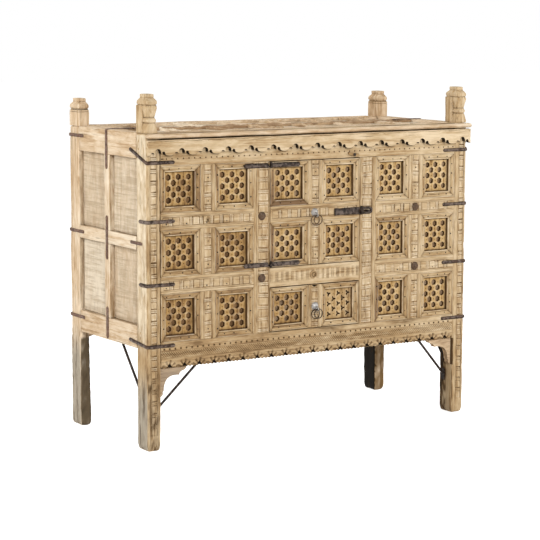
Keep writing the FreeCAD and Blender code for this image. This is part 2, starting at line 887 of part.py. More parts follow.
def side_walls():
    rails = []
    muntins = []
    panels = []
    panel_width = (side_length - s.side_muntin_width) / 2
    for side_name, side in SIDES.items():
        rail_x = post_left(side)
        levels = {
            "top": (side_top_rail_bottom, s.side_top_rail_height),
            "middle": (side_middle_rail_bottom, s.side_middle_rail_height),
            "bottom": (side_bottom_rail_bottom, s.side_bottom_rail_height),
        }
        for level, (z, height) in levels.items():
            rails.append(box(f"{side_name}_{level}_rail", rail_x, post_back, z,
                             s.post_width, side_length, height))
        fields = {
            "upper": (side_middle_rail_top, side_top_rail_bottom - side_middle_rail_top),
            "lower": (side_bottom_rail_top, side_middle_rail_bottom - side_bottom_rail_top),
        }
        muntin_x = outer_left(side, 0, s.frame_thickness)
        panel_x = outer_left(side, s.side_panel_recess, s.side_panel_thickness)
        for field, (z, height) in fields.items():
            name = f"{side_name}_{field}"
            muntins.append(box(f"{name}_side_muntin", muntin_x, post_back + panel_width, z,
                               s.frame_thickness, s.side_muntin_width, height))
            for column in range(2):
                y = post_back + column * (panel_width + s.side_muntin_width)
                panels.append(box(f"{name}_side_panel_{column}", panel_x, y, z,
                                  s.side_panel_thickness, panel_width, height))
    node("side_rails", *rails)
    node("side_muntins", *muntins)
    node("side_panels", *panels)


side_walls()


# Back, floor and drawer case

def back_wall():
    bottom_z = back_bottom_rail_bottom + s.back_bottom_rail_height
    rails = [
        box("back_top_rail", -inner, back_rail_front, side_top_rail_bottom,
            2 * inner, s.frame_thickness, s.side_top_rail_height),
        box("back_bottom_rail", -inner, back_rail_front, back_bottom_rail_bottom,
            2 * inner, s.frame_thickness, s.back_bottom_rail_height),
    ]
    boards = []
    board_width = 2 * inner / s.back_board_count
    board_y = back - s.back_board_recess - s.back_board_thickness
    for index in range(SIZES["back_board_count"]):
        boards.append(box(f"back_board_{index}", index * board_width - inner, board_y, bottom_z,
                          board_width, s.back_board_thickness, side_top_rail_bottom - bottom_z))
    node("back_rails", *rails)
    node("back_boards", *boards)


def cabinet_floor():
    floor_bottom = floor_top - s.floor_thickness
    board_depth = inside_depth / s.floor_board_count
    boards = []
    for index in range(SIZES["floor_board_count"]):
        boards.append(box(f"floor_board_{index}", -inner, frame_back + index * board_depth, floor_bottom,
                          2 * inner, board_depth, s.floor_thickness))
    bearer_z = floor_bottom - s.bearer_size
    bearers = [
        box("front_bearer", -inner, frame_back, bearer_z, 2 * inner, s.bearer_size, s.bearer_size),
        box("back_bearer", -inner, back_rail_front - s.bearer_size, bearer_z,
            2 * inner, s.bearer_size, s.bearer_size),
    ]
    node("floor_boards", *boards)
    node("floor_bearers", *bearers)


def drawer_case():
    """Cheeks, dust board and runners that make the tunnel for the drawer."""
    cheek_height = drawer_top - floor_top
    left_cheek_x = doorway_left - s.cheek_thickness
    runner_height = drawer_bottom - s.slide_clearance - floor_top
    right_runner_x = doorway_right - s.runner_width
    case_width = s.door_opening_width + 2 * s.cheek_thickness
    node("drawer_case",
         box("left_cheek", left_cheek_x, frame_back, floor_top,
             s.cheek_thickness, inside_depth, cheek_height),
         box("right_cheek", doorway_right, frame_back, floor_top,
             s.cheek_thickness, inside_depth, cheek_height),
         box("dust_board", left_cheek_x, frame_back, drawer_top,
             case_width, inside_depth, s.dust_board_thickness),
         box("left_runner", doorway_left, frame_back, floor_top,
             s.runner_width, inside_depth, runner_height),
         box("right_runner", right_runner_x, frame_back, floor_top,
             s.runner_width, inside_depth, runner_height))


drawer_bottom = apron_top + s.drawer_gap
back_wall()
cabinet_floor()
drawer_case()


# Brackets and brace rods under the front

def corner_brackets():
    """Cusped brackets in the angle between the apron and each front post."""
    brackets = []
    for side_name, side in SIDES.items():
        body = doc.addObject("PartDesign::Body", f"{side_name}_bracket")
        cusp = -side * BRACKET_CUSP_ARC
        hollow = -side * BRACKET_HOLLOW_ARC
        outline = [
            (0, 0),
            (-side * s.bracket_reach, 0),
            (-side * s.bracket_upper_cusp_reach, -s.bracket_upper_cusp_drop, cusp),
            (-side * s.bracket_lower_cusp_reach, -s.bracket_lower_cusp_drop, hollow),
            (0, -s.bracket_drop, cusp),
        ]
        sketch = draw(body, "XZ_Plane", f"{side_name}_bracket_face", outline)
        padded(body, sketch, s.bracket_thickness)
        place(body, side * inner, front + s.bracket_setback + s.bracket_thickness, apron_bottom)
        brackets.append(body)
    node("corner_brackets", *brackets)


def brace_rods():
    """Slanted rods from the floor bearer and the side rails down to plates on the front posts."""
    rods = []
    bearer_z = floor_top - s.floor_thickness - s.bearer_size
    for side_name, side in SIDES.items():
        run = s.left_front_rod_run if side < 0 else s.right_front_rod_run
        foot = s.left_front_rod_foot if side < 0 else s.right_front_rod_foot
        front_rise = bearer_z - foot
        length = root(run * run + front_rise * front_rise) * (1 + 2 * ROD_OVERRUN)
        y = front + s.front_rod_setback
        rod = cylinder(f"{side_name}_front_bar", side * (inner + ROD_OVERRUN * run), y,
                       foot - ROD_OVERRUN * front_rise, s.rod_radius, length)
        lean(rod, ALONG_Y * -side, slope_angle(run, front_rise))
        reach = 2 * run
        low_x = -inner if side < 0 else inner - reach
        room = box(f"{side_name}_front_room", low_x, y - s.bearer_size, 0, reach, 2 * s.bearer_size, bearer_z)
        trimmed = common(f"{side_name}_front_trim", rod, room)
        plate_x = -inner if side < 0 else inner - s.strap_thickness
        plate = box(f"{side_name}_front_plate", plate_x, y - s.rod_plate_width / 2,
                    foot - s.rod_plate_height / 2,
                    s.strap_thickness, s.rod_plate_width, s.rod_plate_height)
        rods.append(fuse(f"{side_name}_front_rod", [trimmed, plate]))

        run = s.left_side_rod_run if side < 0 else s.right_side_rod_run
        foot = s.left_side_rod_foot if side < 0 else s.right_side_rod_foot
        side_rise = side_bottom_rail_bottom - foot
        length = root(run * run + side_rise * side_rise) * (1 + 2 * ROD_OVERRUN)
        x = side * (half - s.post_width / 2)
        rod = cylinder(f"{side_name}_side_bar", x, post_back - ROD_OVERRUN * run,
                       foot - ROD_OVERRUN * side_rise, s.rod_radius, length)
        lean(rod, ALONG_X * -1, slope_angle(run, side_rise))
        room = box(f"{side_name}_side_room", x - s.bearer_size, post_back, 0,
                   2 * s.bearer_size, 2 * run, side_bottom_rail_bottom)
        trimmed = common(f"{side_name}_side_trim", rod, room)
        plate = box(f"{side_name}_side_plate", x - s.rod_plate_width / 2, post_back,
                    foot - s.rod_plate_height / 2,
                    s.rod_plate_width, s.strap_thickness, s.rod_plate_height)
        rods.append(fuse(f"{side_name}_side_rod", [trimmed, plate]))
    node("brace_rods", *rods)


corner_brackets()
brace_rods()


# Iron straps, studs and rosette

def corner_straps():
    """Straps that bend round each front corner, some with a rising leg on the side."""
    straps = []
    legs = {
        "eaves": (row1_top + s.eaves_strap_level, s.eaves_strap_run, s.eaves_strap_rise),
        "upper": (row2_top + s.upper_strap_level, s.middle_strap_run, as_dim(0)),
        "lower": (row3_top + s.lower_strap_level, s.middle_strap_run, as_dim(0)),
        "apron": (apron_bottom + s.apron_strap_level, s.apron_strap_run, s.apron_strap_rise),
    }
    iron = s.corner_strap_thickness
    tall = s.corner_strap_height
    for side_name, side in SIDES.items():
        for level, (z, run, rise) in legs.items():
            name = f"{side_name}_{level}_strap"
            front_length = s.corner_strap_reach + iron
            front_x = -half - iron if side < 0 else half - s.corner_strap_reach
            front_leg = box(f"{name}_front", front_x, front - iron, z - tall / 2, front_length, iron, tall)
            side_x = -half - iron if side < 0 else half
            side_leg = box(f"{name}_side", side_x, front - iron, z - tall / 2,
                           iron, root(run * run + rise * rise) + iron, tall)
            lean(side_leg, ALONG_X, slope_angle(rise, run))
            straps.append(fuse(name, [front_leg, side_leg]))
    node("front_corner_straps", *straps)


def back_straps():
    straps = []
    iron = s.strap_thickness
    levels = {
        "top": side_top_rail_bottom + s.back_strap_top_level,
        "middle": side_middle_rail_bottom + s.back_strap_middle_level,
        "bottom": side_bottom_rail_bottom + s.back_strap_bottom_level,
    }
    for side_name, side in SIDES.items():
        for level, z in levels.items():
            name = f"{side_name}_{level}_back_strap"
            low_z = z - s.back_strap_height / 2
            back_x = -half - iron if side < 0 else half - s.back_strap_reach
            back_leg = box(f"{name}_back", back_x, back, low_z,
                           s.back_strap_reach + iron, iron, s.back_strap_height)
            side_x = -half - iron if side < 0 else half
            side_leg = box(f"{name}_side", side_x, back - s.back_strap_side_run, low_z,
                           iron, s.back_strap_side_run + iron, s.back_strap_height)
            straps.append(fuse(name, [back_leg, side_leg]))
    node("back_corner_straps", *straps)


def side_straps():
    """Upright straps over the side rails, the top one bent in over the top, and a short tie in front."""
    straps = []
    iron = s.strap_thickness
    width = s.side_strap_width
    y = front + s.body_depth / 2 - width / 2
    for side_name, side in SIDES.items():
        x = -half - iron if side < 0 else half
        top_x = -half - iron if side < 0 else half - s.side_strap_top_reach
        top_strap_bottom = side_top_rail_bottom - s.side_strap_top_bottom
        upright = box(f"{side_name}_top_strap_leg", x, y, top_strap_bottom,
                      iron, width, s.top_height + iron - top_strap_bottom)
        over = box(f"{side_name}_top_strap_over", top_x, y, s.top_height,
                   s.side_strap_top_reach + iron, width, iron)
        straps.append(fuse(f"{side_name}_top_strap", [upright, over]))
        middle_z = side_middle_rail_bottom - s.side_strap_middle_bottom
        straps.append(box(f"{side_name}_middle_strap", x, y, middle_z,
                          iron, width, s.side_strap_middle_height))
        low_z = side_bottom_rail_bottom + s.side_strap_low_bottom
        straps.append(box(f"{side_name}_low_strap", x, y, low_z,
                          iron, width, s.side_strap_low_height))
        tie_z = side_middle_rail_bottom + s.side_tie_level - s.back_strap_height / 2
        straps.append(box(f"{side_name}_tie", x, front + s.side_tie_start, tie_z,
                          iron, s.side_tie_run, s.back_strap_height))
    node("side_straps", *straps)


upper_rail_middle = row2_top + s.bay_rail_height / 2
lower_rail_middle = row3_top + s.bay_rail_height / 2


def dome_studs():
    studs = []
    left_x = doorway_left - s.left_stile_width / 2
    right_x = right_bay_left + right_bay_width / 2
    for column, x in (("stile", left_x), ("bay", right_x)):
        for level, z in (("upper", upper_rail_middle), ("lower", lower_rail_middle)):
            studs.append(dome(f"{column}_{level}_stud", x, front, z, s.stud_radius, s.stud_rise))
    node("dome_studs", *studs)


corner_straps()
back_straps()
side_straps()
dome_studs()
centre_rail_middle = drawer_top + s.drawer_rail_height / 2
node("centre_rosette", cylinder("rosette_disc", s.door_shift + s.rosette_shift, front, centre_rail_middle,
                                s.rosette_radius, s.rosette_rise, Z_TO_FRONT))


# Door

door_left = doorway_left + s.door_gap
door_bottom = doorway_bottom + s.door_gap
door_width = s.door_opening_width - 2 * s.door_gap
door_height = row1_top - doorway_bottom - 2 * s.door_gap
door_panel_width = (door_width - s.muntin_width) / 2
door_panel_height = (door_height - s.door_rail_height) / 2
door_rail_bottom = door_bottom + door_panel_height
door_rail_middle = door_rail_bottom + s.door_rail_height / 2


def door_leaf():
    """The door: upright planks faced with a rail, two muntins and four framed lattices."""
    node("door_middle_rail", box("door_rail_board", door_left, front, door_rail_bottom,
                                 door_width, panel_body, s.door_rail_height))
    frame_master = moulding_frame("door_frame_master", door_panel_width, door_panel_height)
    plate_master = lattice_plate("door_lattice_master", door_panel_width, door_panel_height, six_sided_hole)
    muntins = []
    frames = []
    lattices = []
    for level, z in (("lower", door_bottom), ("upper", door_rail_bottom + s.door_rail_height)):
        muntins.append(box(f"door_{level}_muntin", door_left + door_panel_width, front, z,
                           s.muntin_width, panel_body, door_panel_height))
        for column in range(2):
            x = door_left + door_panel_width / 2 + column * (door_panel_width + s.muntin_width)
            middle = z + door_panel_height / 2
            frames.append(copy_of(frame_master, f"door_{level}_frame_{column}", x, strip_back, middle))
            lattices.append(copy_of(plate_master, f"door_{level}_lattice_{column}", x, lattice_back, middle))
    planks = []
    plank_width = door_width / s.door_plank_count
    for index in range(SIZES["door_plank_count"]):
        planks.append(box(f"door_plank_{index}", door_left + index * plank_width, lattice_back, door_bottom,
                          plank_width, backing_thickness, door_height))
    node("door_muntins", *muntins)
    node("door_mouldings", *frames)
    node("door_lattices", *lattices)
    node("door_planks", *planks)


door_leaf()

hinge_x = doorway_left + s.door_gap / 2
knuckle_y = front - s.knuckle_radius - s.face_gap
bore_radius = s.pin_radius + s.pin_clearance


def bored(name, pieces, x, y, z, height):
    """Fuses a leaf with its knuckles and bores the pin hole through them."""
    bore = cylinder(f"{name}_bore", x, y, z, bore_radius, height)
    return cut(name, fuse(f"{name}_blank", pieces), bore)


def strap_hinge(level, middle_z):
    """One hinge: the stile leaf with the lower knuckle, the door leaf with the upper one, and the pin."""
    tall = s.hinge_strap_height
    iron = s.strap_thickness
    low_z = middle_z - tall / 2
    knuckle = tall / 2 - s.knuckle_gap / 2
    upper_z = middle_z + s.knuckle_gap / 2
    stop = s.knuckle_radius + s.plate_gap
    stile_leaf = bored(f"{level}_stile_leaf", [
        box(f"{level}_stile_plate", hinge_x - s.hinge_stile_reach, front - iron, low_z,
            s.hinge_stile_reach - stop, iron, tall),
        box(f"{level}_stile_tab", hinge_x - stop, front - iron, low_z, stop, iron - s.face_gap, knuckle),
        cylinder(f"{level}_stile_knuckle", hinge_x, knuckle_y, low_z, s.knuckle_radius, knuckle),
    ], hinge_x, knuckle_y, low_z, tall)
    door_leaf_iron = bored(f"{level}_door_leaf", [
        box(f"{level}_door_plate", hinge_x + stop, front - iron, low_z,
            s.hinge_door_reach - stop, iron, tall),
        box(f"{level}_door_tab", hinge_x, front - iron, upper_z, stop, iron - s.face_gap, knuckle),
        cylinder(f"{level}_door_knuckle", hinge_x, knuckle_y, upper_z, s.knuckle_radius, knuckle),
    ], hinge_x, knuckle_y, low_z, tall)
    pin = fuse(f"{level}_hinge_pin", [
        cylinder(f"{level}_pin_shank", hinge_x, knuckle_y, low_z, s.pin_radius, tall + s.knuckle_gap),
        cylinder(f"{level}_pin_head", hinge_x, knuckle_y, low_z + tall + s.knuckle_gap,
                 s.pin_head_radius, s.pin_head_height),
    ])
    return stile_leaf, door_leaf_iron, pin


low_hinge = strap_hinge("lower", door_bottom + s.hinge_inset)
high_hinge = strap_hinge("upper", door_bottom + door_height - s.hinge_inset)
node("hinge_stile_leaves", low_hinge[0], high_hinge[0])
node("hinge_door_leaves", low_hinge[1], high_hinge[1])
node("hinge_pins", low_hinge[2], high_hinge[2])


# Hasp, staple and turn button

hasp_x = doorway_right + s.hasp_axis_offset
hasp_z = door_rail_middle - s.hasp_drop
hasp_low = hasp_z - s.hasp_height / 2
hasp_third = s.hasp_height / 3
staple_x = hasp_x + s.staple_distance


def hasp():
    """The strap on the door, the slotted leaf hinged to it, its pin, and the staple on the stile."""
    iron = s.hasp_thickness
    stop = s.knuckle_radius + s.plate_gap
    knuckle = hasp_third - s.knuckle_gap
    plate_y = front - iron
    strap = bored("hasp_strap_whole", [
        box("hasp_strap_plate", hasp_x - s.hasp_strap_reach, plate_y, hasp_low,
            s.hasp_strap_reach - stop, iron, s.hasp_height),
        box("hasp_low_tab", hasp_x - stop, plate_y, hasp_low, stop, iron - s.face_gap, knuckle),
        cylinder("hasp_low_knuckle", hasp_x, knuckle_y, hasp_low, s.knuckle_radius, knuckle),
        box("hasp_high_tab", hasp_x - stop, plate_y, hasp_low + s.hasp_height - knuckle,
            stop, iron - s.face_gap, knuckle),
        cylinder("hasp_high_knuckle", hasp_x, knuckle_y, hasp_low + s.hasp_height - knuckle,
                 s.knuckle_radius, knuckle),
    ], hasp_x, knuckle_y, hasp_low, s.hasp_height)
    node("hasp_strap", strap)

    leaf = bored("hasp_leaf_bored", [
        box("hasp_leaf_plate", hasp_x + stop, plate_y, hasp_low,
            s.hasp_leaf_reach - stop, iron - s.face_gap, s.hasp_height),
        box("hasp_leaf_tab", hasp_x, plate_y, hasp_low + hasp_third, stop, iron - s.face_gap, hasp_third),
        cylinder("hasp_leaf_knuckle", hasp_x, knuckle_y, hasp_low + hasp_third, s.knuckle_radius, hasp_third),
    ], hasp_x, knuckle_y, hasp_low, s.hasp_height)
    slot_height = s.staple_thickness + 2 * s.slot_play_height
    slot = box("hasp_slot", staple_x - s.staple_width / 2 - s.slot_play_inner, front - 2 * iron,
               hasp_z - slot_height / 2,
               s.staple_width + s.slot_play_inner + s.slot_play_outer, 2 * iron, slot_height)
    node("hasp_leaf", cut("hasp_leaf_slotted", leaf, slot))

    node("hasp_pin", fuse("hasp_pin_whole", [
        cylinder("hasp_pin_shank", hasp_x, knuckle_y, hasp_low, s.pin_radius, s.hasp_height + s.knuckle_gap),
        cylinder("hasp_pin_head", hasp_x, knuckle_y, hasp_low + s.hasp_height + s.knuckle_gap,
                 s.pin_head_radius, s.pin_head_height),
    ]))

    staple_low = hasp_z - s.staple_thickness / 2
    tongue = fuse("staple_blank", [
        box("staple_tongue", staple_x - s.staple_width / 2, front - s.staple_reach, staple_low,
            s.staple_width, s.staple_reach, s.staple_thickness),
        cylinder("staple_tip", staple_x, front - s.staple_reach, staple_low,
                 s.staple_width / 2, s.staple_thickness),
    ])
    bore = cylinder("staple_bore", staple_x, front - s.staple_reach, staple_low,
                    s.staple_bore_radius, s.staple_thickness)
    node("hasp_staple", cut("staple_bored", tongue, bore))


hasp()


def turn_button():
    """A small bar on a nail that turns down over the door; at rest it lies tilted above it."""
    x = doorway_right - s.button_from_door_edge
    z = row1_top + s.button_above_door
    body = doc.addObject("PartDesign::Body", "turn_button_body")
    straight = s.button_length / 2 - s.button_height / 2
    low = -s.button_height / 2
    high = s.button_height / 2
    end = s.button_length / 2
    outline = [
        (-straight, low, QUARTER_ARC), (straight, low), (end, 0, QUARTER_ARC),
        (straight, high, QUARTER_ARC), (-straight, high), (-end, 0, QUARTER_ARC),
    ]
    sketch = draw(body, "XZ_Plane", "button_face", outline)
    padded(body, sketch, s.button_thickness)
    y = front - s.button_gap
    place(body, x, y, z)
    lean(body, ALONG_Y, s.button_tilt)
    shank_length = s.button_gap * 2 + s.button_thickness
    hole = cylinder("button_bore", x, front, z, bore_radius, shank_length, Z_TO_FRONT)
    node("turn_button", cut("turn_button_bored", body, hole))
    node("turn_button_nail", fuse("button_nail_whole", [
        cylinder("button_nail_shank", x, front, z, s.pin_radius, shank_length, Z_TO_FRONT),
        cylinder("button_nail_head", x, front - shank_length, z,
                 s.button_head_radius, s.pin_head_height, Z_TO_FRONT),
    ]))


turn_button()


# Ring pulls of the door and the drawer

def ring_pull(owner, x, z):
    """A domed boss with an eye, and two rings that hang through the eye one behind the other."""
    eye_y = front - s.eye_reach
    eye_z = z - s.eye_drop
    eye = primitive("Torus", f"{owner}_eye", {"Radius1": s.eye_radius, "Radius2": s.eye_wire_radius},
                    x, eye_y, eye_z, FreeCAD.Rotation(ALONG_Y, 90))
    shank = cylinder(f"{owner}_shank", x, front, z, s.eye_wire_radius * 2, s.eye_reach, Z_TO_FRONT)
    boss = dome(f"{owner}_dome", x, front, z, s.boss_radius, s.boss_rise)
    node(f"{owner}_pull_boss", fuse(f"{owner}_boss_whole", [boss, shank, eye]))
    aside = s.ring_radius * sine(s.ring_splay)
    drop = s.ring_hang + s.ring_radius * cosine(s.ring_splay)
    wire = {"Radius1": s.ring_radius, "Radius2": s.ring_wire_radius}
    for name, side in (("front_ring", -1), ("back_ring", 1)):
        ring = primitive("Torus", f"{owner}_{name}", wire, x + side * aside,
                         eye_y + side * s.ring_spacing / 2, eye_z - drop, Z_TO_FRONT)
        node(f"{owner}_pull_{name}", ring)


ring_pull("door", s.door_shift + s.pull_shift, door_rail_middle)


# Drawer

drawer_left = doorway_left + s.drawer_gap
drawer_width = s.door_opening_width - 2 * s.drawer_gap
drawer_face_height = s.drawer_opening_height - 2 * s.drawer_gap
drawer_panel_width = (drawer_width - s.muntin_width) / 2
drawer_middle = drawer_bottom + drawer_face_height / 2


def drawer():
    """A board box whose front carries a muntin, two mitred frames, a lattice and a slit plate."""
    node("drawer_front_board", box("drawer_front_plank", drawer_left, lattice_back, drawer_bottom,
                                   drawer_width, backing_thickness, drawer_face_height))
    node("drawer_muntin", box("drawer_muntin_board", drawer_left + drawer_panel_width, front, drawer_bottom,
                              s.muntin_width, panel_body, drawer_face_height))
    frame_master = moulding_frame("drawer_frame_master", drawer_panel_width, drawer_face_height)
    frames = []
    plates = []
    for column, hole in enumerate((six_sided_hole, three_armed_slit)):
        x = drawer_left + drawer_panel_width / 2 + column * (drawer_panel_width + s.muntin_width)
        frames.append(copy_of(frame_master, f"drawer_frame_{column}", x, strip_back, drawer_middle))
        plate = lattice_plate(f"drawer_lattice_{column}", drawer_panel_width, drawer_face_height, hole)
        place(plate, x, lattice_back, drawer_middle)
        plates.append(plate)
    node("drawer_mouldings", *frames)
    node("drawer_lattices", *plates)

    box_front = frame_back
    side_length_in = s.drawer_depth - s.frame_thickness
    thick = s.drawer_side_thickness
    inner_width = drawer_width - 2 * thick
    right_side_x = drawer_left + drawer_width - thick
    drawer_back_y = box_front + side_length_in - thick
    node("drawer_sides_and_back",
         box("drawer_left_side", drawer_left, box_front, drawer_bottom,
             thick, side_length_in, s.drawer_side_height),
         box("drawer_right_side", right_side_x, box_front, drawer_bottom,
             thick, side_length_in, s.drawer_side_height),
         box("drawer_back", drawer_left + thick, drawer_back_y, drawer_bottom,
             inner_width, thick, s.drawer_side_height))
    node("drawer_bottom", box("drawer_bottom_board", drawer_left + thick, box_front, drawer_bottom,
                              inner_width, side_length_in - thick, s.drawer_bottom_thickness))


drawer()
ring_pull("drawer", s.door_shift, drawer_middle)

# Nothing is written unless every object came out sound
doc.recompute()
for item in doc.Objects:
    if "Invalid" in item.State or "Error" in item.State:
        raise RuntimeError(f"{item.Label} failed: {item.State}")
for item in NODES:
    if item.Shape.isNull() or not item.Shape.isValid():
        raise RuntimeError(f"{item.Label} has no sound shape")
os.makedirs("parts", exist_ok=True)
for item in NODES:
    item.Shape.exportStep(os.path.join("parts", f"{item.Label}.step"))
print(f"{len(NODES)} nodes, {sum(len(item.Shape.Solids) for item in NODES)} solids")
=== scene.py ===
# %% [markdown]
# # A carved dowry cabinet, dressed in Blender
# The solids of the cabinet are already drawn and jointed. This lesson puts carved, worn and bleached
# wood over them, and hammered iron, without moving anything. Each step below takes one family of
# pieces, says what it is on the real cabinet, and builds it from points worked out in numpy.

# %% Load the solids
import math

import bpy
import numpy as np
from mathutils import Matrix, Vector
from mathutils.geometry import delaunay_2d_cdt


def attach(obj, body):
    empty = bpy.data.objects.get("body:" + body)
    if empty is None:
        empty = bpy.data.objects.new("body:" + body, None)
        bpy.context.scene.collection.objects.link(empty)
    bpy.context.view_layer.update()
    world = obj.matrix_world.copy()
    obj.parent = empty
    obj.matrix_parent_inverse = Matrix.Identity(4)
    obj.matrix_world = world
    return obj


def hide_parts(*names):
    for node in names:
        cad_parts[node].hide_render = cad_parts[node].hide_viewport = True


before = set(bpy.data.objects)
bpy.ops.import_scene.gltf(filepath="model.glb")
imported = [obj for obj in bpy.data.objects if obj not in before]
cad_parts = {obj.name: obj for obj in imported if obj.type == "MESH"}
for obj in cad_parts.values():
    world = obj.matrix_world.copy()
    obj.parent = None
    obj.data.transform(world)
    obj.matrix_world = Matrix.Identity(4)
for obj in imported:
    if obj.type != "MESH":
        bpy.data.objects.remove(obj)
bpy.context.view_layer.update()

# %% [markdown]
# ## The cabinet's own levels
# A maker works from a rod with the levels marked on it. Here the marks are read off the solids, in
# millimetres, so every board can be named by where it starts and stops.

# %% Levels and widths in millimetres
MM = 0.001
BAY_RAIL = 58.5


def span(node):
    """Low and high corner of one solid in millimetres, to a hundredth."""
    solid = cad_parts[node]
    points = np.array([solid.matrix_world @ vertex.co for vertex in solid.data.vertices]) / MM
    return np.round(points.min(axis=0), 2), np.round(points.max(axis=0), 2)


def outline_of(node):
    """Left, right, bottom and top of one solid, seen from the front."""
    (left, _, bottom), (right, _, top) = span(node)
    return left, right, bottom, top


(INNER, FRONT, _), (HALF, POST_BACK, _) = span("front_right_post")
POST_X, POST_Y = HALF - INNER, POST_BACK - FRONT
(_, BACK_RAIL_FRONT, BACK_RAIL_LOW), (_, BACK, _) = span("back_rails")
(_, _, APRON_BOTTOM), (_, FRAME_BACK, APRON_TOP) = span("apron_rail")
LATTICE_BACK = span("bay_lattices")[1][1]
UNDER_TOP, TOP = outline_of("top_long_rails")[2:]
PANEL_TOP = outline_of("front_top_rail")[2]
LOW_RAIL, HIGH_RAIL = outline_of("bay_rails")[2:]
BAY_RAILS = [(LOW_RAIL, LOW_RAIL + BAY_RAIL), (HIGH_RAIL - BAY_RAIL, HIGH_RAIL)]
ROWS = {"lower": (APRON_TOP, LOW_RAIL), "middle": (LOW_RAIL + BAY_RAIL, HIGH_RAIL - BAY_RAIL),
        "upper": (HIGH_RAIL, PANEL_TOP)}
STILES = {side: outline_of(f"{side}_door_stile")[:2] for side in ("left", "right")}
BAYS = {"left": (-INNER, STILES["left"][0]), "right": (STILES["right"][1], INNER)}
DOOR, DRAWER = outline_of("door_planks"), outline_of("drawer_front_board")
DOOR_RAIL = outline_of("door_middle_rail")[2:]
MUNTIN = np.ptp(outline_of("drawer_muntin")[:2])
print(f"front {2 * HALF:.0f} wide, top at {TOP:.0f}")

# %% [markdown]
# ## Unevenness without a random texture
# Hand-cut wood is never flat. A few sine waves in seeded directions add up to a smooth ripple that
# is the same on every run. A plateau with soft sides is what carving and wear are shaped with.

# %% Ripples and plateaus
def chance(seed):
    """A random source that gives the same numbers on every run."""
    return np.random.default_rng(abs(int(seed)))


def ripple(points, wavelength, seed):
    """Smooth unevenness from about -1 to 1 over an array of points."""
    rng = chance(seed)
    total = np.zeros(len(points))
    for share in (1.0, 0.7, 0.5, 0.4):
        direction = rng.normal(size=3)
        direction /= np.linalg.norm(direction)
        stretch = wavelength * rng.uniform(0.6, 1.5)
        total += share * np.sin(points @ direction * (2 * math.pi / stretch) + rng.uniform(0, 6.28))
    return total / 2.0


def plateau(value, centre, half, soft):
    """1 within half of the centre, falling smoothly to 0 over soft."""
    ramp = np.clip((half + soft - np.abs(value - centre)) / soft, 0.0, 1.0)
    return ramp * ramp * (3 - 2 * ramp)


lowest = ripple(chance(1).uniform(0, 900, (500, 3)), 60, 4).min()
print(f"a ripple goes down to {lowest:.2f}")

# %% [markdown]
# ## One mesh per piece
# A piece may hold dozens of boards. Each vertex keeps two notes: *grain*, its place in the log with
# X along the fibres, and *wear*, which holds dirt and painted shade (or, below zero,
# rubbing and painted highlights), the board's own tint and how grey the weather has made it. Materials
# read the notes, so no pictures and no UVs are needed.

# %% The piece builder
def scrubbed(points):
    """The front was scrubbed hardest towards its upper right corner, so the wood is paler there."""
    near = np.clip((FRONT + 90 - points[:, 1]) / 60, 0, 1)
    return near * (0.22 * points[:, 0] / HALF + 0.2 * np.clip((points[:, 2] - 700) / 400, -0.8, 1))


class Piece:
    """Collects points and faces, in millimetres, and makes one object of them."""

    def __init__(self):
        self.points = []
        self.faces = []
        self.grain = []
        self.wear = []
        self.count = 0

    def add(self, points, faces, grain, dirt_and_shade, tint=0.0, grey=0.0):
        """Takes one form in: its points, arrays of faces, and the notes of every point."""
        self.points.append(points)
        self.faces.extend((np.asarray(face) + self.count).tolist() for face in faces)
        self.grain.append(grain)
        self.wear.append(np.stack(np.broadcast_arrays(dirt_and_shade, tint, grey), axis=1))
        self.count += len(points)

    def make(self, name, body, nodes, slot, finish, sharp=50):
        """One object on a body, in place of the solids named in nodes; sharp is in degrees."""
        mesh = bpy.data.meshes.new(name)
        faces = [face for block in self.faces for face in block]
        mesh.from_pydata((np.concatenate(self.points) * MM).tolist(), [], faces)
        wear = np.concatenate(self.wear)
        wear[:, 1] -= scrubbed(np.concatenate(self.points))
        for label, values in (("grain", np.concatenate(self.grain)), ("wear", wear)):
            layer = mesh.attributes.new(label, "FLOAT_VECTOR", "POINT")
            layer.data.foreach_set("vector", values.astype(np.float32).ravel())
        mesh.polygons.foreach_set("use_smooth", np.ones(len(mesh.polygons), bool))
        mesh.set_sharp_from_angle(angle=math.radians(sharp))
        mesh.validate()
        piece = bpy.data.objects.new(name, mesh)
        bpy.context.collection.objects.link(piece)
        mesh.materials.append(finish)
        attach(piece, body)
        if nodes:
            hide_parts(*nodes)
        print(f"{name}: {len(mesh.vertices)} points on {body}")

    def dress(self, node, look, body="carcass", slot="carved_wood", finish=None, sharp=50):
        """Makes the object that stands in for one solid and is named after it."""
        self.make(f"{node}_{look}", body, [node], slot, finish or CARVED, sharp)


print("piece builder ready")

# %% [markdown]
# ## Shader sums in Python
# A material is a graph, but it reads better as arithmetic. *Wire* wraps one socket, so that
# `1 - mask * 0.4` adds the Math nodes by itself. Everything that isn't plain arithmetic comes from
# its one method, *make*, which sets a node's options first and then its sockets.

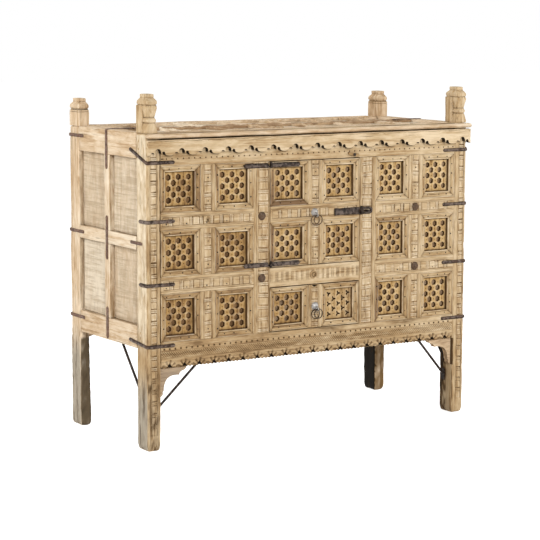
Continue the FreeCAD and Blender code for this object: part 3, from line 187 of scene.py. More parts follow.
# %% The socket wrapper
class Wire:
    """One socket of a shader graph."""

    def __init__(self, tree, socket=None):
        self.tree = tree
        self.socket = socket

    def make(self, kind, settings, sockets, out=0):
        node = self.tree.nodes.new(kind)
        for name, value in settings.items():
            if name == "stops":
                ramp = node.color_ramp.elements
                while len(ramp) < len(value):
                    ramp.new(0.5)
                for stop, (position, colour) in zip(ramp, value):
                    stop.position = position
                    stop.color = (*colour, 1.0)
            else:
                setattr(node, name, value)
        for name, value in sockets.items():
            if isinstance(value, Wire):
                self.tree.links.new(value.socket, node.inputs[name])
            else:
                node.inputs[name].default_value = value
        return Wire(self.tree, node.outputs[out] if node.outputs else None)

    def sum(self, operation, first, second):
        return self.make("ShaderNodeMath", {"operation": operation}, {0: first, 1: second})

    def __add__(self, other):
        return self.sum("ADD", self, other)

    def __radd__(self, other):
        return self.sum("ADD", other, self)

    def __sub__(self, other):
        return self.sum("SUBTRACT", self, other)

    def __rsub__(self, other):
        return self.sum("SUBTRACT", other, self)

    def __mul__(self, other):
        return self.sum("MULTIPLY", self, other)

    def __rmul__(self, other):
        return self.sum("MULTIPLY", other, self)

    def clamp(self, low, high):
        """Spreads the values from low to high over 0 to 1 and stops there."""
        sockets = {"Value": self, "From Min": low, "From Max": high}
        return self.make("ShaderNodeMapRange", {"interpolation_type": "SMOOTHSTEP"}, sockets)

    def parts(self):
        """The three parts of a vector, each as a wire."""
        node = self.make("ShaderNodeSeparateXYZ", {}, {0: self}).socket.node
        return [Wire(self.tree, part) for part in node.outputs]

    def stretched(self, x, y, z):
        return self.make("ShaderNodeVectorMath", {"operation": "MULTIPLY"}, {0: self, 1: (x, y, z)})

    def noise(self, scale, detail=2.0, roughness=0.5, distortion=0.0):
        sockets = {"Vector": self, "Scale": scale, "Detail": detail,
                   "Roughness": roughness, "Distortion": distortion}
        return self.make("ShaderNodeTexNoise", {}, sockets)

    def blend(self, first, second, how="MIX"):
        """Goes from the first colour to the second as this value goes from 0 to 1."""
        sockets = {0: self, 6: first, 7: second}
        return self.make("ShaderNodeMix", {"data_type": "RGBA", "blend_type": how}, sockets, 2)


def new_material(name):
    material = bpy.data.materials.new(name)
    material.use_nodes = True
    material.node_tree.nodes.clear()
    return material, Wire(material.node_tree)


def close_material(wires, **sockets):
    """Ends a graph in the usual surface shader."""
    surface = wires.make("ShaderNodeBsdfPrincipled", {}, sockets)
    wires.make("ShaderNodeOutputMaterial", {}, {"Surface": surface})


print("shader sums ready")

# %% [markdown]
# ## Bleached wood
# The cabinet is an old hardwood that was scrubbed and bleached. Its face is straw to honey, the grain
# shows as long brown streaks, hollows keep old brown polish and dirt with painted shade, near black
# where the shade is deepest, and rubbed edges and painted highlights are nearly white. On the legs,
# damp has turned it grey. One recipe makes all the woods; the numbers differ.

# %% Wood finishes
def colour(red, green, blue):
    return (red, green, blue, 1.0)


def bleached_wood(name, dirt_and_shade, tones, sawn=0.0):
    """The colour of the dirt and painted shade in the hollows, and four tones from bleached to brown."""
    material, wires = new_material(name)
    grain = wires.make("ShaderNodeAttribute", {"attribute_name": "grain"}, {}, "Vector")
    notes = wires.make("ShaderNodeAttribute", {"attribute_name": "wear"}, {}, "Vector")
    hollow, tint, grey = notes.parts()
    figure = grain.stretched(2.2, 30, 30).noise(1.0, 4.0, 0.62, 0.9)
    mottle = grain.stretched(17, 48, 48).noise(1.0, 4.0, 0.66, 0.5)
    cloud = grain.stretched(5, 7, 7).noise(1.0, 3.0, 0.6)
    fibre = grain.stretched(16, 330, 330).noise(1.0, 2.0, 0.6)
    streaks = grain.stretched(6, 105, 105).noise(1.0, 3.0, 0.6, 0.2).clamp(0.52, 0.61)
    cracks = grain.stretched(8, 170, 170).noise(1.0, 3.0, 0.6, 0.3).clamp(0.63, 0.72)
    tone = figure * (0.55 - 0.25 * sawn) + mottle * 0.75 + cloud * 0.6 + tint * 0.3
    tone = tone + streaks * (0.2 - 0.15 * sawn) - (0.46 - 0.12 * sawn)
    stops = list(zip((0.2, 0.45, 0.66, 0.9), tones))
    base = tone.make("ShaderNodeValToRGB", {"stops": stops}, {"Fac": tone})
    # Below zero the notes paint rubbed edges and painted highlights nearly white.
    rubbed = (0.0 - hollow).clamp(0.05, 0.9)
    base = (rubbed * 0.75 * mottle.clamp(0.8, 0.3)).blend(base, colour(0.84, 0.735, 0.56))
    weathered = (mottle * 0.55 + streaks * 0.4).clamp(0.15, 0.7).blend(
        colour(0.39, 0.345, 0.275), colour(0.11, 0.084, 0.054))
    damp = (grey + cloud * 0.5 + mottle * 0.4 - 0.45).clamp(0.05, 0.8)
    base = (damp * 0.9).blend(base, weathered)
    base = (damp * streaks * 0.55).blend(base, colour(0.1, 0.078, 0.055))
    # Above zero the notes paint dirt and painted shade in the hollow colour.
    soot_and_shade = (hollow * (0.6 + 0.7 * mottle + 0.3 * streaks) + mottle * 0.3 - 0.15).clamp(0.05, 1.05)
    base = soot_and_shade.blend(base, dirt_and_shade)
    # Above 1 they paint the darkest places near black: deep painted shade, the darkest dirt and holes.
    base = hollow.clamp(1.0, 1.9).blend(base, colour(0.012, 0.009, 0.006))
    base = (cracks * (0.65 - 0.4 * sawn)).blend(base, dirt_and_shade)
    base = (fibre.clamp(0.35, 0.75) * 0.2).blend(base, colour(0.3, 0.21, 0.13), "MULTIPLY")
    relief = fibre * 0.35 + mottle * 0.5 - cracks * 0.8 - streaks * 0.4
    if sawn:
        kerf = grain.stretched(95, 5, 5).noise(1.0, 3.0, 0.7, 0.4).clamp(0.42, 0.62)
        patch = grain.stretched(7, 16, 16).noise(1.0, 3.0, 0.6).clamp(0.3, 0.55)
        kerf = kerf * patch * sawn
        base = (kerf * 0.5).blend(base, colour(0.34, 0.255, 0.155))
        relief = relief - kerf * 1.4
    bump = relief.make("ShaderNodeBump", {}, {"Strength": 0.6, "Distance": 0.0015, "Height": relief})
    close_material(wires, **{"Base Color": base, "Roughness": 0.9 - 0.2 * fibre, "Normal": bump,
                             "Specular IOR Level": 0.12})
    print(f"{name}: {len(material.node_tree.nodes)} shader nodes")
    return material


PLAIN_TONES = [(0.76, 0.64, 0.48), (0.64, 0.49, 0.33), (0.5, 0.345, 0.2), (0.31, 0.19, 0.1)]
CARVED = bleached_wood(
    "bleached_carved_wood", colour(0.09, 0.05, 0.02),
    [(0.68, 0.54, 0.36), (0.535, 0.395, 0.232), (0.415, 0.275, 0.138), (0.24, 0.147, 0.07)])
MOULDED = bleached_wood(
    "bleached_moulding_wood", colour(0.1, 0.053, 0.022),
    [(0.64, 0.5, 0.32), (0.5, 0.358, 0.198), (0.375, 0.24, 0.112), (0.2, 0.118, 0.06)])
PIERCED = bleached_wood(
    "pierced_panel_wood", colour(0.07, 0.034, 0.012),
    [(0.63, 0.455, 0.24), (0.51, 0.338, 0.148), (0.385, 0.228, 0.082), (0.22, 0.12, 0.045)])
PLAIN = bleached_wood("bleached_plain_wood", colour(0.17, 0.1, 0.038), PLAIN_TONES)
SHADED = bleached_wood("shaded_plain_wood", colour(0.115, 0.084, 0.05), PLAIN_TONES)
SAWN = bleached_wood(
    "sawn_panel_wood", colour(0.2, 0.13, 0.065),
    [(0.7, 0.6, 0.46), (0.6, 0.48, 0.34), (0.51, 0.38, 0.25), (0.36, 0.26, 0.16)], sawn=1.0)
INSIDE = bleached_wood(
    "unbleached_inner_wood", colour(0.05, 0.026, 0.012),
    [(0.33, 0.2, 0.1), (0.25, 0.143, 0.066), (0.18, 0.098, 0.042), (0.1, 0.055, 0.025)])

# %% [markdown]
# ## Forged iron
# Straps, hinges and nails are dark forged iron: brown-black where rust sits, grey where it is rubbed, with a
# painted highlight along each bar's crest.
# Texture coordinates come from the object, because bare solids such as the rings have no notes.

# %% Iron finishes
def forged_iron(name, dark, rubbed, rust, metal):
    material, wires = new_material(name)
    place = wires.make("ShaderNodeTexCoord", {}, {}, "Object")
    dents = place.noise(95.0, 2.0, 0.5)
    scale = place.noise(420.0, 3.0, 0.65)
    patches = place.noise(38.0, 3.0, 0.6).clamp(0.42, 0.7)
    notes = wires.make("ShaderNodeAttribute", {"attribute_name": "wear"}, {}, "Vector")
    # A painted highlight along each bar's crest, read from the notes, in the rubbed colour.
    crest_highlight = (0.0 - notes.parts()[0]) * dents.clamp(0.3, 0.55)
    base = (dents.clamp(0.42, 0.75) * 0.6 + crest_highlight * 0.9).blend(dark, rubbed)
    base = (patches * 0.5).blend(base, rust)
    base = (scale.clamp(0.5, 0.75) * 0.4).blend(base, colour(0.02, 0.016, 0.013))
    relief = dents * 0.8 + scale * 0.25
    bump = relief.make("ShaderNodeBump", {}, {"Strength": 0.7, "Distance": 0.002, "Height": relief})
    close_material(wires, **{"Base Color": base, "Roughness": 0.38 + 0.25 * patches + 0.15 * scale,
                             "Metallic": metal - 0.1 * patches, "Normal": bump, "Specular IOR Level": 0.14})
    print(f"{name}: {len(material.node_tree.nodes)} shader nodes")
    return material


IRON = forged_iron("black_hinge_iron", colour(0.008, 0.004, 0.002), colour(0.135, 0.103, 0.085),
                   colour(0.05, 0.03, 0.02), 0.05)
STRAP_IRON = forged_iron("brown_strap_iron", colour(0.02, 0.01, 0.006), colour(0.17, 0.128, 0.103),
                         colour(0.11, 0.06, 0.038), 0.05)
STUD_IRON = forged_iron("brown_stud_iron", colour(0.07, 0.043, 0.026), colour(0.19, 0.13, 0.09),
                        colour(0.16, 0.09, 0.05), 0.15)
RUSTED_IRON = forged_iron("rusted_strap_iron", colour(0.085, 0.045, 0.03), colour(0.2, 0.13, 0.095),
                          colour(0.17, 0.085, 0.05), 0.12)
RUBBED_IRON = forged_iron("rubbed_pull_iron", colour(0.34, 0.33, 0.315), colour(0.8, 0.79, 0.76),
                          colour(0.24, 0.19, 0.15), 0.6)

# %% [markdown]
# ## A board with worn arrises
# The workhorse is a board whose edges are rounded over by hands and time. It starts as a box of grid
# lines. Dense lines are laid only where there is carving, and a face that nobody can see is closed by
# one flat polygon.

# %% A box of grid lines
def spaced(low, high, step):
    return np.linspace(low, high, max(2, int(round((high - low) / step)) + 1))


def board_grid(low, high, radius, step, lines):
    """Grid lines on each axis, two of them in every rounded edge."""
    grid = []
    rim = radius * np.array([1.0, 0.62])
    for axis in range(3):
        start, stop = low[axis] + radius, high[axis] - radius
        inner = spaced(start, stop, step)
        if axis in lines:
            inner = np.unique(np.round(np.concatenate([[start, stop], lines[axis]]), 2))
            inner = inner[(inner >= start - 0.01) & (inner <= stop + 0.01)]
        grid.append(np.concatenate([start - rim, inner, (stop + rim)[::-1]]))
    return grid


def box_of_grid(grid, skip):
    """Points and faces of a box; a face in skip, given as axis and direction, is one polygon."""
    shape = [len(marks) for marks in grid]
    quads, rims = [], []
    for axis in range(3):
        second, third = (axis + 1) % 3, (axis + 2) % 3
        rows, columns = np.meshgrid(np.arange(shape[second]), np.arange(shape[third]), indexing="ij")
        for sign in (-1, 1):
            level = np.full(rows.shape, 0 if sign < 0 else shape[axis] - 1)
            index = {axis: level, second: rows, third: columns}
            key = (index[0] * shape[1] + index[1]) * shape[2] + index[2]
            if (axis, sign) in skip:
                rim = np.concatenate([key[:-1, 0], key[-1, :-1], key[:0:-1, -1], key[0, :0:-1]])
                rims.append(rim[::sign])
                continue
            corners = [key[:-1, :-1], key[1:, :-1], key[1:, 1:], key[:-1, 1:]]
            quads.append(np.stack([corner.ravel() for corner in corners[::sign]], axis=1))
    keys, quads = np.unique(np.concatenate(quads), return_inverse=True)
    lids = [np.searchsorted(keys, rim)[None, :] for rim in rims]
    i, j, k = keys // (shape[1] * shape[2]), keys // shape[2] % shape[1], keys % shape[2]
    return np.stack([grid[0][i], grid[1][j], grid[2][k]], axis=1), [quads.reshape(-1, 4)] + lids


print("grid maker ready")

# %% [markdown]
# Every point near an edge is drawn onto a small quarter round. Then the ripple roughens the faces and
# nicks the edges, and a carving function may sink a face. *lines* adds grid lines to an axis and
# *carve* a pattern to a face. *stain* (dirt and painted shade), *bleach* (bleaching
# and painted light), *grey* and *warp* are functions of place.

# %% The board maker
def board(piece, low, high, along, seed, round_off=2.0, rough=0.35, chip=0.8, step=40.0, lines=None,
          carve=None, tint=0.0, grey=None, skip=(), warp=None, stain=None, sink=1.2, seam=-0.75, run=0.3,
          bleach=None):
    """Adds one board between two corners, its grain along one axis."""
    low, high = np.array(low, float), np.array(high, float)
    radius = min(round_off, 0.42 * (high - low).min())
    points, faces = box_of_grid(board_grid(low, high, radius, step, lines or {}), skip)
    core = np.clip(points, low + radius, high - radius)
    outward = points - core
    normal = outward / np.linalg.norm(outward, axis=1, keepdims=True)
    edge = np.clip((1 - np.abs(normal).max(axis=1)) / 0.29, 0, 1)
    order = [along, (along + 1) % 3, (along + 2) % 3]
    slow = points[:, order] * np.array([run, 1.0, 1.0])
    bumps = (ripple(slow, 46, seed) + 0.5 * ripple(slow, 13, seed + 1) - sink) * rough
    nick = np.clip(ripple(slow, 17, seed + 2) - 0.1, 0, 1) * edge * chip * radius
    shaped = core + normal * (radius + bumps - nick)[:, None]
    hollow = seam * edge * (0.6 + 0.4 * ripple(slow, 30, seed + 3))
    for (axis, sign), pattern in (carve or {}).items():
        on_face = normal[:, axis] * sign > 0.95
        depth, dirt_and_shade = pattern(points[on_face])
        shaped[on_face, axis] -= sign * depth
        hollow[on_face] = dirt_and_shade
    if stain is not None:
        hollow = np.maximum(hollow, stain(points, normal))
    if bleach is not None:
        hollow = hollow - bleach(points, normal)
    weather = 0.0 if grey is None else grey(points, normal)
    if warp is not None:
        shaped = warp(shaped)
    grain = shaped[:, order] * MM + chance(seed).uniform(-4, 4, 3)
    piece.add(shaped, faces, grain, hollow, tint, weather)


def boards(node, look, finish, along, blocks, seed, body="carcass", slot="panel_wood", tint_spread=0.22,
           tints=None, **wear):
    """A piece made of plain worn boards, one for each (low, high) block."""
    piece = Piece()
    rng = chance(seed)
    for number, (low, high) in enumerate(blocks):
        tint = tints[number] if tints else rng.normal(0, tint_spread)
        way = along[number] if isinstance(along, tuple) else along
        board(piece, low, high, way, seed + 10 * number, tint=tint, **wear)
    piece.dress(node, look, body, slot, finish)


print("board maker ready")

# %% [markdown]
# ## Bead strips
# Posts, stiles, muntins and rails all carry the same running ornament: a cushion block, two thin
# rings, a cushion block, cut into a sunk channel between two scribed lines. It is a height map, so a
# function of the distance along and across gives both the depth and the notes: dirt and painted shade
# in the channel, and rubbing with painted highlights on the rings and the blocks' rims.

# %% Carving patterns
BEAT = np.array([0.0, 0.04, 0.08, 0.12, 0.16, 0.24, 0.33, 0.42, 0.5, 0.54, 0.58, 0.62, 0.675, 0.7, 0.72, 0.74,
                 0.76, 0.78, 0.805, 0.83, 0.85, 0.87, 0.89, 0.91, 0.94])
ACROSS = np.array([-1.5, -1.34, -1.27, -1.2, -1.1, -1.02, -0.93, -0.84, -0.72, -0.55, -0.3, 0.0])
FACE = (1, -1)
HIDDEN_BACK = ((1, 1),)


def bead_lines(start, stop, pitch):
    """Grid lines that fall on the edges of every block and ring."""
    count = int(math.ceil((stop - start) / pitch))
    marks = (np.arange(count)[:, None] + BEAT[None, :]).ravel() * pitch + start
    return marks[marks < stop]


def cross_lines(middle, half):
    return middle + half * np.concatenate([ACROSS, -ACROSS[-2::-1]])


def beaded(along, middle, half, start, stop, pitch, depth, seed, crisp, grime_and_shade):
    """Blocks and ring pairs along one axis of the front, in a channel of the given half width."""
    def carve(points):
        run = points[:, along] + 1.9 * ripple(points, 110, seed)
        reach = (points[:, 2 - along] - middle) / half
        phase = ((run - start) / pitch) % 1.0
        inside = plateau(run, (start + stop) / 2, (stop - start) / 2 - 2, 2)
        inside = plateau(reach, 0.0, 0.94, 0.08) * inside
        block = plateau(phase, 0.33, 0.24, 0.08) * plateau(reach, 0.0, 0.78, 0.14)
        rings = np.maximum(plateau(phase, 0.74, 0.02, 0.045), plateau(phase, 0.87, 0.02, 0.045))
        lift = np.maximum(block, 0.85 * rings * plateau(reach, 0.0, 0.82, 0.1))
        wear_and_light_amount = 1.0 + 0.35 * ripple(points, 120, seed + 7)
        scribe = plateau(np.abs(reach), 1.24, 0.03, 0.07)
        rim = block - plateau(phase, 0.33, 0.14, 0.05) * plateau(reach, 0.0, 0.58, 0.1)
        bare = np.clip(ripple(points, 150, seed + 9), 0, 1)
        rubbed = 0.95 * rings + crisp * rim + (0.4 * bare - 0.08) * block
        # The channel is darkened with dirt and painted shade; rings and block rims are made paler, rubbing
        # and painted highlight.
        dirt_and_shade = inside * ((1 - lift) * grime_and_shade * wear_and_light_amount - rubbed) + 0.5 * scribe
        return depth * inside * (1 - lift) + 1.3 * scribe, dirt_and_shade
    return carve


def several(*carvings):
    """Uses the deepest of several carvings at every point."""
    def carve(points):
        results = [carving(points) for carving in carvings]
        depth = np.maximum.reduce([result[0] for result in results])
        dirt_and_shade = np.maximum.reduce([result[1] for result in results])
        return depth, dirt_and_shade
    return carve


def punched(level, pitch, first, radius):
    """A row of punched dots across the front."""
    def carve(points):
        aside = (points[:, 0] - first + pitch / 2) % pitch - pitch / 2
        dot = plateau(np.hypot(aside, points[:, 2] - level), 0.0, radius * 0.5, radius * 0.6)
        return 2.2 * dot, 1.3 * dot
    return carve


def dot_lines(first, pitch, stop, spread):
    centres = np.arange(first, stop, pitch)
    return (centres[:, None] + np.array([-1.0, -0.55, 0.0, 0.55, 1.0])[None, :] * spread).ravel()


def bead_board(piece, low, high, along, middle, half, beads, depth, seed, crisp, grime_and_shade, *more, **wear):
    """A board of the front with a bead strip along it, and perhaps more carving."""
    carve = several(beaded(along, middle, half, *beads, depth, seed, crisp, grime_and_shade), *more)
    lines = {2 - along: cross_lines(middle, half), along: bead_lines(*beads)}
    board(piece, low, high, along, seed, rough=0.3, step=30, lines=lines, carve={FACE: carve}, seam=0.4,
          **wear)


print("patterns: beads, dots")

# %% [markdown]
# ## Turned and lofted forms
# Finials, domes and knuckles are stacks of rings. A ring can be round or squarish, which a
# superellipse gives with one exponent, so the same helper makes a turned bell and a carved cap.

# %% The loft maker
def skin(rows, count, flipped=False):
    """Faces of a tube of stacked rings, with a lid at both ends."""
    index = np.arange(rows * count).reshape(rows, count)
    ring = np.column_stack([index, index[:, :1]])
    quads = np.stack([ring[:-1, :-1], ring[1:, :-1], ring[1:, 1:], ring[:-1, 1:]], axis=-1).reshape(-1, 4)
    if flipped:
        return [quads[:, [0, 3, 2, 1]], index[:1, ::-1], index[-1:]]
    return [quads, index[:1], index[-1:, ::-1]]


def round_rings(*rings):
    """Round sections from (height, radius) with dirt and painted shade, and flute depth, if any, after them.
    """
    full = [(*ring, 0, 0)[:4] for ring in rings]
    return [(height, radius, radius, 2, dirt_and_shade, flute) for height, radius, dirt_and_shade, flute in full]


def turned(piece, base, sections, seed, facing="up", count=40, flutes=0, tint=0.0, rough=0.3):
    """Lofts rings. A section is (height, half x, half y, squareness, dirt and painted shade, flute depth)."""
    angle = np.linspace(0, 2 * math.pi, count, endpoint=False)
    rings, grime_and_shade = [], []
    for height, half_x, half_y, square, dirt_and_shade, flute in sections:
        swell = 1 + flute * np.cos(flutes * angle)
        x = np.sign(np.cos(angle)) * np.abs(np.cos(angle)) ** (2 / square) * half_x * swell
        y = np.sign(np.sin(angle)) * np.abs(np.sin(angle)) ** (2 / square) * half_y * swell
        rings.append(np.stack([x, y, np.full(count, height)], axis=1))
        # The flutes' grooves get painted shade.
        groove = np.where(flute > 0, np.clip(-np.cos(flutes * angle), 0, 1) * 0.35, 0.0)
        grime_and_shade.append(dirt_and_shade + groove)
    local = np.concatenate(rings)
    wood = local[:, [2, 0, 1]] * MM + chance(seed).uniform(-4, 4, 3)
    outward = local * np.array([1.0, 1.0, 0.0])
    outward /= np.maximum(np.linalg.norm(outward, axis=1, keepdims=True), 1e-6)
    local = local + outward * ((ripple(local, 22, seed) - 1.0) * rough)[:, None]
    if facing == "front":
        local = np.stack([local[:, 0], -local[:, 2], local[:, 1]], axis=1)
    faces = skin(len(sections), count, True)
    piece.add(local + np.array(base), faces, wood, np.concatenate(grime_and_shade), tint)


print("loft maker ready")

# %% [markdown]
# ## Weather on the legs
# The legs have gone grey on damp floors, and the faces under the cabinet carry dirt and painted shade,
# with a painted shadow beside the right bracket. The back left leg is narrower than its post, because a
# slice was hewn off it. Each of these is a function of place that the board maker calls.

# %% Grey, dirt, painted shade and worn feet
FOOT_HEIGHT, FOOT_WEAR = 26.0, 6.0
HEWN_FOOT, HEWN_TOP = 8.0, 15.0
BRACKET_Z, PANELS_Z = 240, 730


def weathered_leg(top, front, sides):
    """Grey weathering that grows downwards, with its own strength on the front and on the sides."""
    def grey(points, normal):
        strength = np.where(np.abs(normal[:, 0]) > 0.7, sides, front)
        strength = np.where(np.abs(normal).max(axis=1) < 0.9, 0.4 * strength, strength)
        return strength * np.clip((top - points[:, 2]) / 220, 0, 1)
    return grey


def shaded_leg(top, front, left, torn=None, patches=1.0):
    """Dirt and painted shade on the faces under the cabinet, darkest away from the front."""
    def stain(points, normal):
        x, y, z = points.T
        faces_front, faces_left = normal[:, 1] < -0.7, normal[:, 0] < -0.7
        deep = np.clip((y - FRONT - 26) / 16, 0, 1) * np.clip(0.55 + z / 330, 0, 1)
        strength = front * faces_front + left * np.where(y > 0, 1.0, 0.35 + 0.65 * deep) * faces_left
        wide = ripple(points * np.array([1, 1, 0.4]), 60, 5)
        small = ripple(points * np.array([1, 1, 0.3]), 13, 6)
        patchy = 1 + patches * (0.3 * wide + 0.25 * small)
        low = strength * patchy * np.clip((top - z) / 25, 0, 1)
        # A painted shadow of the bracket on the right post's inner face.
        beside_bracket = (normal[:, 0] < -0.3) * (x > 0) * (y < FRONT + 10) * (np.abs(z - BRACKET_Z) < 52)
        low = np.maximum(low, 23 / 22 * left * beside_bracket)
        if torn is not None:
            tear = np.clip((5 + 9 * ripple(points, 26, 8) - np.abs(x - torn)) / 4, 0, 1)
            low = np.maximum(low, 2.6 * tear * faces_front * (z < top))
        # Painted shade on the back posts' front faces beside the sunk side panels.
        behind_panels = 1.5 * (front > 1.4) * faces_front * (np.abs(z - PANELS_Z) < 292)
        return np.maximum(low, behind_panels) - 1
    return stain


def worn_foot(middle_x, middle_y):
    """Rounds the corners off at the floor."""
    def warp(points):
        low = np.clip((FOOT_HEIGHT - points[:, 2]) / FOOT_HEIGHT, 0, 1) ** 2
        for axis, middle in ((0, middle_x), (1, middle_y)):
            points[:, axis] -= np.sign(points[:, axis] - middle) * FOOT_WEAR * low
        return points
    return warp


def hewn_leg(points):
    """Wears the foot of the back left leg and takes off the slice that was hewn from its inner face."""
    points = worn_foot(POST_X / 2 - HALF, BACK - POST_Y / 2)(points)
    share = np.clip((points[:, 0] + HALF) / POST_X, 0, 1)
    slice_depth = HEWN_FOOT + (HEWN_TOP - HEWN_FOOT) * points[:, 2] / BACK_RAIL_LOW
    points[:, 0] -= np.where(points[:, 2] < BACK_RAIL_LOW, slice_depth, 0.0) * share
    return points


def bleached_side(points, normal):
    """Painted light: the left face of the front left post is paler above the apron, where light falls from
    the left.
    """
    return 0.7 * (normal[:, 0] < -0.9) * (points[:, 0] < 0) * np.clip((points[:, 2] - 320) / 120, 0, 1)


print(f"a foot loses {FOOT_WEAR:.0f} mm at its corners")

# %% [markdown]
# ## Corner posts and finials
# Four posts run from floor to finial. The front pair carries a bead strip and a small carved
# baluster under a bulged cap; the back pair is plain, with two scribed rings. The tables give the
# sections of the turned forms from the bottom up.

# %% Front posts
CAP_X, CAP_Y = 23.5, 39.5
CAP = ((0, 4, 4, 9, 0.7), (3, 3, 3, 9, 0.4), (6, 0.5, 0.5, 8, -0.3), (12, 0, 0, 7, -0.2),
       (17, 1.5, 1.5, 7, -0.3), (22, 5, 9, 8, 0.0), (27, 8, 15, 9, 0.5), (29, 7, 14, 9, -0.2),
       (37, 7, 14, 9, -0.3), (39, 9, 17, 9, -0.4))
BELL = ((0, 23, 22, 6, 0.3, 0), (8, 23.4, 22, 6, -0.3, 0), (20, 21.5, 20.5, 5, -0.1, 0),
        (31, 19, 18.5, 4, 0.1, 0), (36, 17, 17, 3, 0.7, 0), (39, 20, 19.5, 4, -0.3, 0),
        (44, 21.5, 20.5, 4, -0.5, 0), (50, 19.5, 19, 3, 0.0, 0), (54, 17, 17, 3, 0.7, 0),
        (60, 18, 17.5, 3, 0.0, 0.05), (72, 20, 19.5, 3, -0.2, 0.07), (86, 22.5, 21.5, 4, -0.3, 0.07),
        (93, 22, 21, 5, 0.1, 0.03), (97, 20, 19.5, 5, 0.7, 0))
POST_BEADS = (56, 1046, 40.5)
MORTISE_Y, MORTISE_Z = -260, 1052
PEGS = ((-224, 1082), (-224, 1055), (-232, 414), (-232, 397))


def post_place(side):
    """Low X of a post, and the middle of its finial, which is flush with the post's outer face."""
    return (-HALF, CAP_X - HALF) if side < 0 else (INNER, HALF - CAP_X)


def capped(piece, middle, middle_y, z, seed, tint):
    """Neck, swelling, slope and little slab of a finial's cap."""
    sections = [(z + rise, CAP_X - x, CAP_Y - y, square, dirt_and_shade, 0) for rise, x, y, square, dirt_and_shade in CAP]
    turned(piece, (middle, middle_y, TOP), sections, seed, count=56, tint=tint, rough=1.0)


def pegs(points):
    """Dark peg ends on the outer side of the left post, and a narrow open mortise."""
    y, z = points[:, 1], points[:, 2]
    dark = [plateau(np.hypot(y - peg_y, z - peg_z), 0.0, 2.7, 2.25) for peg_y, peg_z in PEGS]
    dark = np.maximum.reduce(dark + [plateau(y, MORTISE_Y, 1.2, 1.4) * plateau(z, MORTISE_Z, 9, 2)])
    return 2.5 * dark, 1.1 * dark - 0.1


def front_post(side, strip, half, seed, tint, grey, stain):
    left, middle = post_place(side)
    piece = Piece()
    carve = {FACE: beaded(2, strip, half, *POST_BEADS, 4.2, seed, 0.4, 0.68)}
    if side < 0:
        carve[(0, -1)] = pegs
    mortise_lines = MORTISE_Y + np.array([-4, -2, -1, 0, 1, 2, 4])
    lines = {0: cross_lines(strip, half), 1: np.concatenate([mortise_lines, spaced(-239, -217, 2)]),
             2: np.concatenate([spaced(10, 54, 11), bead_lines(*POST_BEADS), spaced(1047, 1100, 3)])}
    board(piece, (left, FRONT, 0), (left + POST_X, FRONT + POST_Y, TOP), 2, seed, 8.0, 0.6, 0.5, 26, lines,
          carve, tint=tint, grey=grey, stain=stain, seam=0.3, bleach=bleached_side,
          warp=worn_foot(left + POST_X / 2, FRONT + POST_Y / 2))
    board(piece, (middle - CAP_X, FRONT + 38, TOP - 1), (middle + CAP_X, FRONT + POST_Y, TOP + 97), 2,
          seed + 1, 4.0, 0.9, 1.0, 12, tint=tint)
    turned(piece, (middle, FRONT + 22, TOP), BELL, seed + 2, flutes=8, count=56, tint=tint, rough=0.7)
    capped(piece, middle, FRONT + CAP_Y, 95, seed + 3, tint)
    return piece


post = front_post(-1, -659.5, 12.5, 11, -0.15, weathered_leg(330, 0.35, 0.95), shaded_leg(300, 1.22, 0))
post.dress("front_left_post", "carved")
post = front_post(1, 664.5, 11.5, 23, 0.12, weathered_leg(200, 0.1, 0.4), shaded_leg(350, 0.8, 2.2))
post.dress("front_right_post", "carved")

# %% [markdown]
# The back posts have no carving, so their unevenness shows more. Their grid is finest on the legs,
# where the hewn slice and the torn arris need it.

# %% Back posts
NECK = ((-1, CAP_X, CAP_Y, 9, 0.1, 0), (48, CAP_X, CAP_Y, 9, -0.1, 0), (50, 22, 38, 9, 0.9, 0),
        (52, CAP_X, CAP_Y, 9, -0.2, 0), (55, CAP_X, CAP_Y, 9, -0.1, 0), (57, 21.5, 37.5, 9, 0.9, 0),
        (60, 20, 36, 9, 0.5, 0))


def back_post(side, seed, tint, grey, stain):
    left, middle = post_place(side)
    piece = Piece()
    step_lines = [BACK_RAIL_LOW - 1.5, BACK_RAIL_LOW + 1.5]
    up = [spaced(9, 330, 6), step_lines, spaced(341, 380, 6), spaced(396, TOP - 10, 24)]
    lines = {0: spaced(left + 9, left + 46, 5), 2: np.concatenate(up)}
    warp = hewn_leg if side < 0 else worn_foot(left + POST_X / 2, BACK - POST_Y / 2)
    board(piece, (left, BACK - POST_Y, 0), (left + POST_X, BACK, TOP), 2, seed, 9.0, 1.6, 0.6, 14, lines,
          tint=tint, grey=grey, stain=stain, warp=warp)
    turned(piece, (middle, BACK - CAP_Y, TOP), NECK, seed + 2, count=56, tint=tint, rough=0.8)
    capped(piece, middle, BACK - CAP_Y, 60, seed + 3, tint)
    return piece


post = back_post(-1, 37, -0.1, weathered_leg(420, 1.1, 1.0), shaded_leg(350, 2.1, 0.0, -INNER, 0.4))
post.dress("back_left_post", "wear_and_light_amount", finish=SHADED)
# The back right leg's left face, under the cabinet, is painted near black as shade.
post = back_post(1, 53, 0.25, weathered_leg(380, 0.35, 0.3), shaded_leg(360, 1.8, 4.2, INNER, 0.5))
post.dress("back_right_post", "wear_and_light_amount", finish=PLAIN)

# %% [markdown]
# ## Nails
# Small hand-made nails pin the carved strips and the mouldings. No two heads are quite the same size.

# %% Nail heads
def nail(piece, x, y, z, radius, seed):
    """A small hand-made nail head seen from the front."""
    size = radius * chance(seed).uniform(0.8, 1.25)
    rings = round_rings((-1.0, size), (0.3, size), (0.8, size * 0.6))
    turned(piece, (x, y, z), rings, seed, "front", 9, rough=0.1)


def block_nails(name, body, spots):
    """One nail for each (x, z) spot on the carved strips."""
    piece = Piece()
    for number, (x, z) in enumerate(spots):
        nail(piece, x, FRONT + 0.1, z, 2.4, 2000 + number)
    piece.make(name, body, [], "forged_iron", IRON)


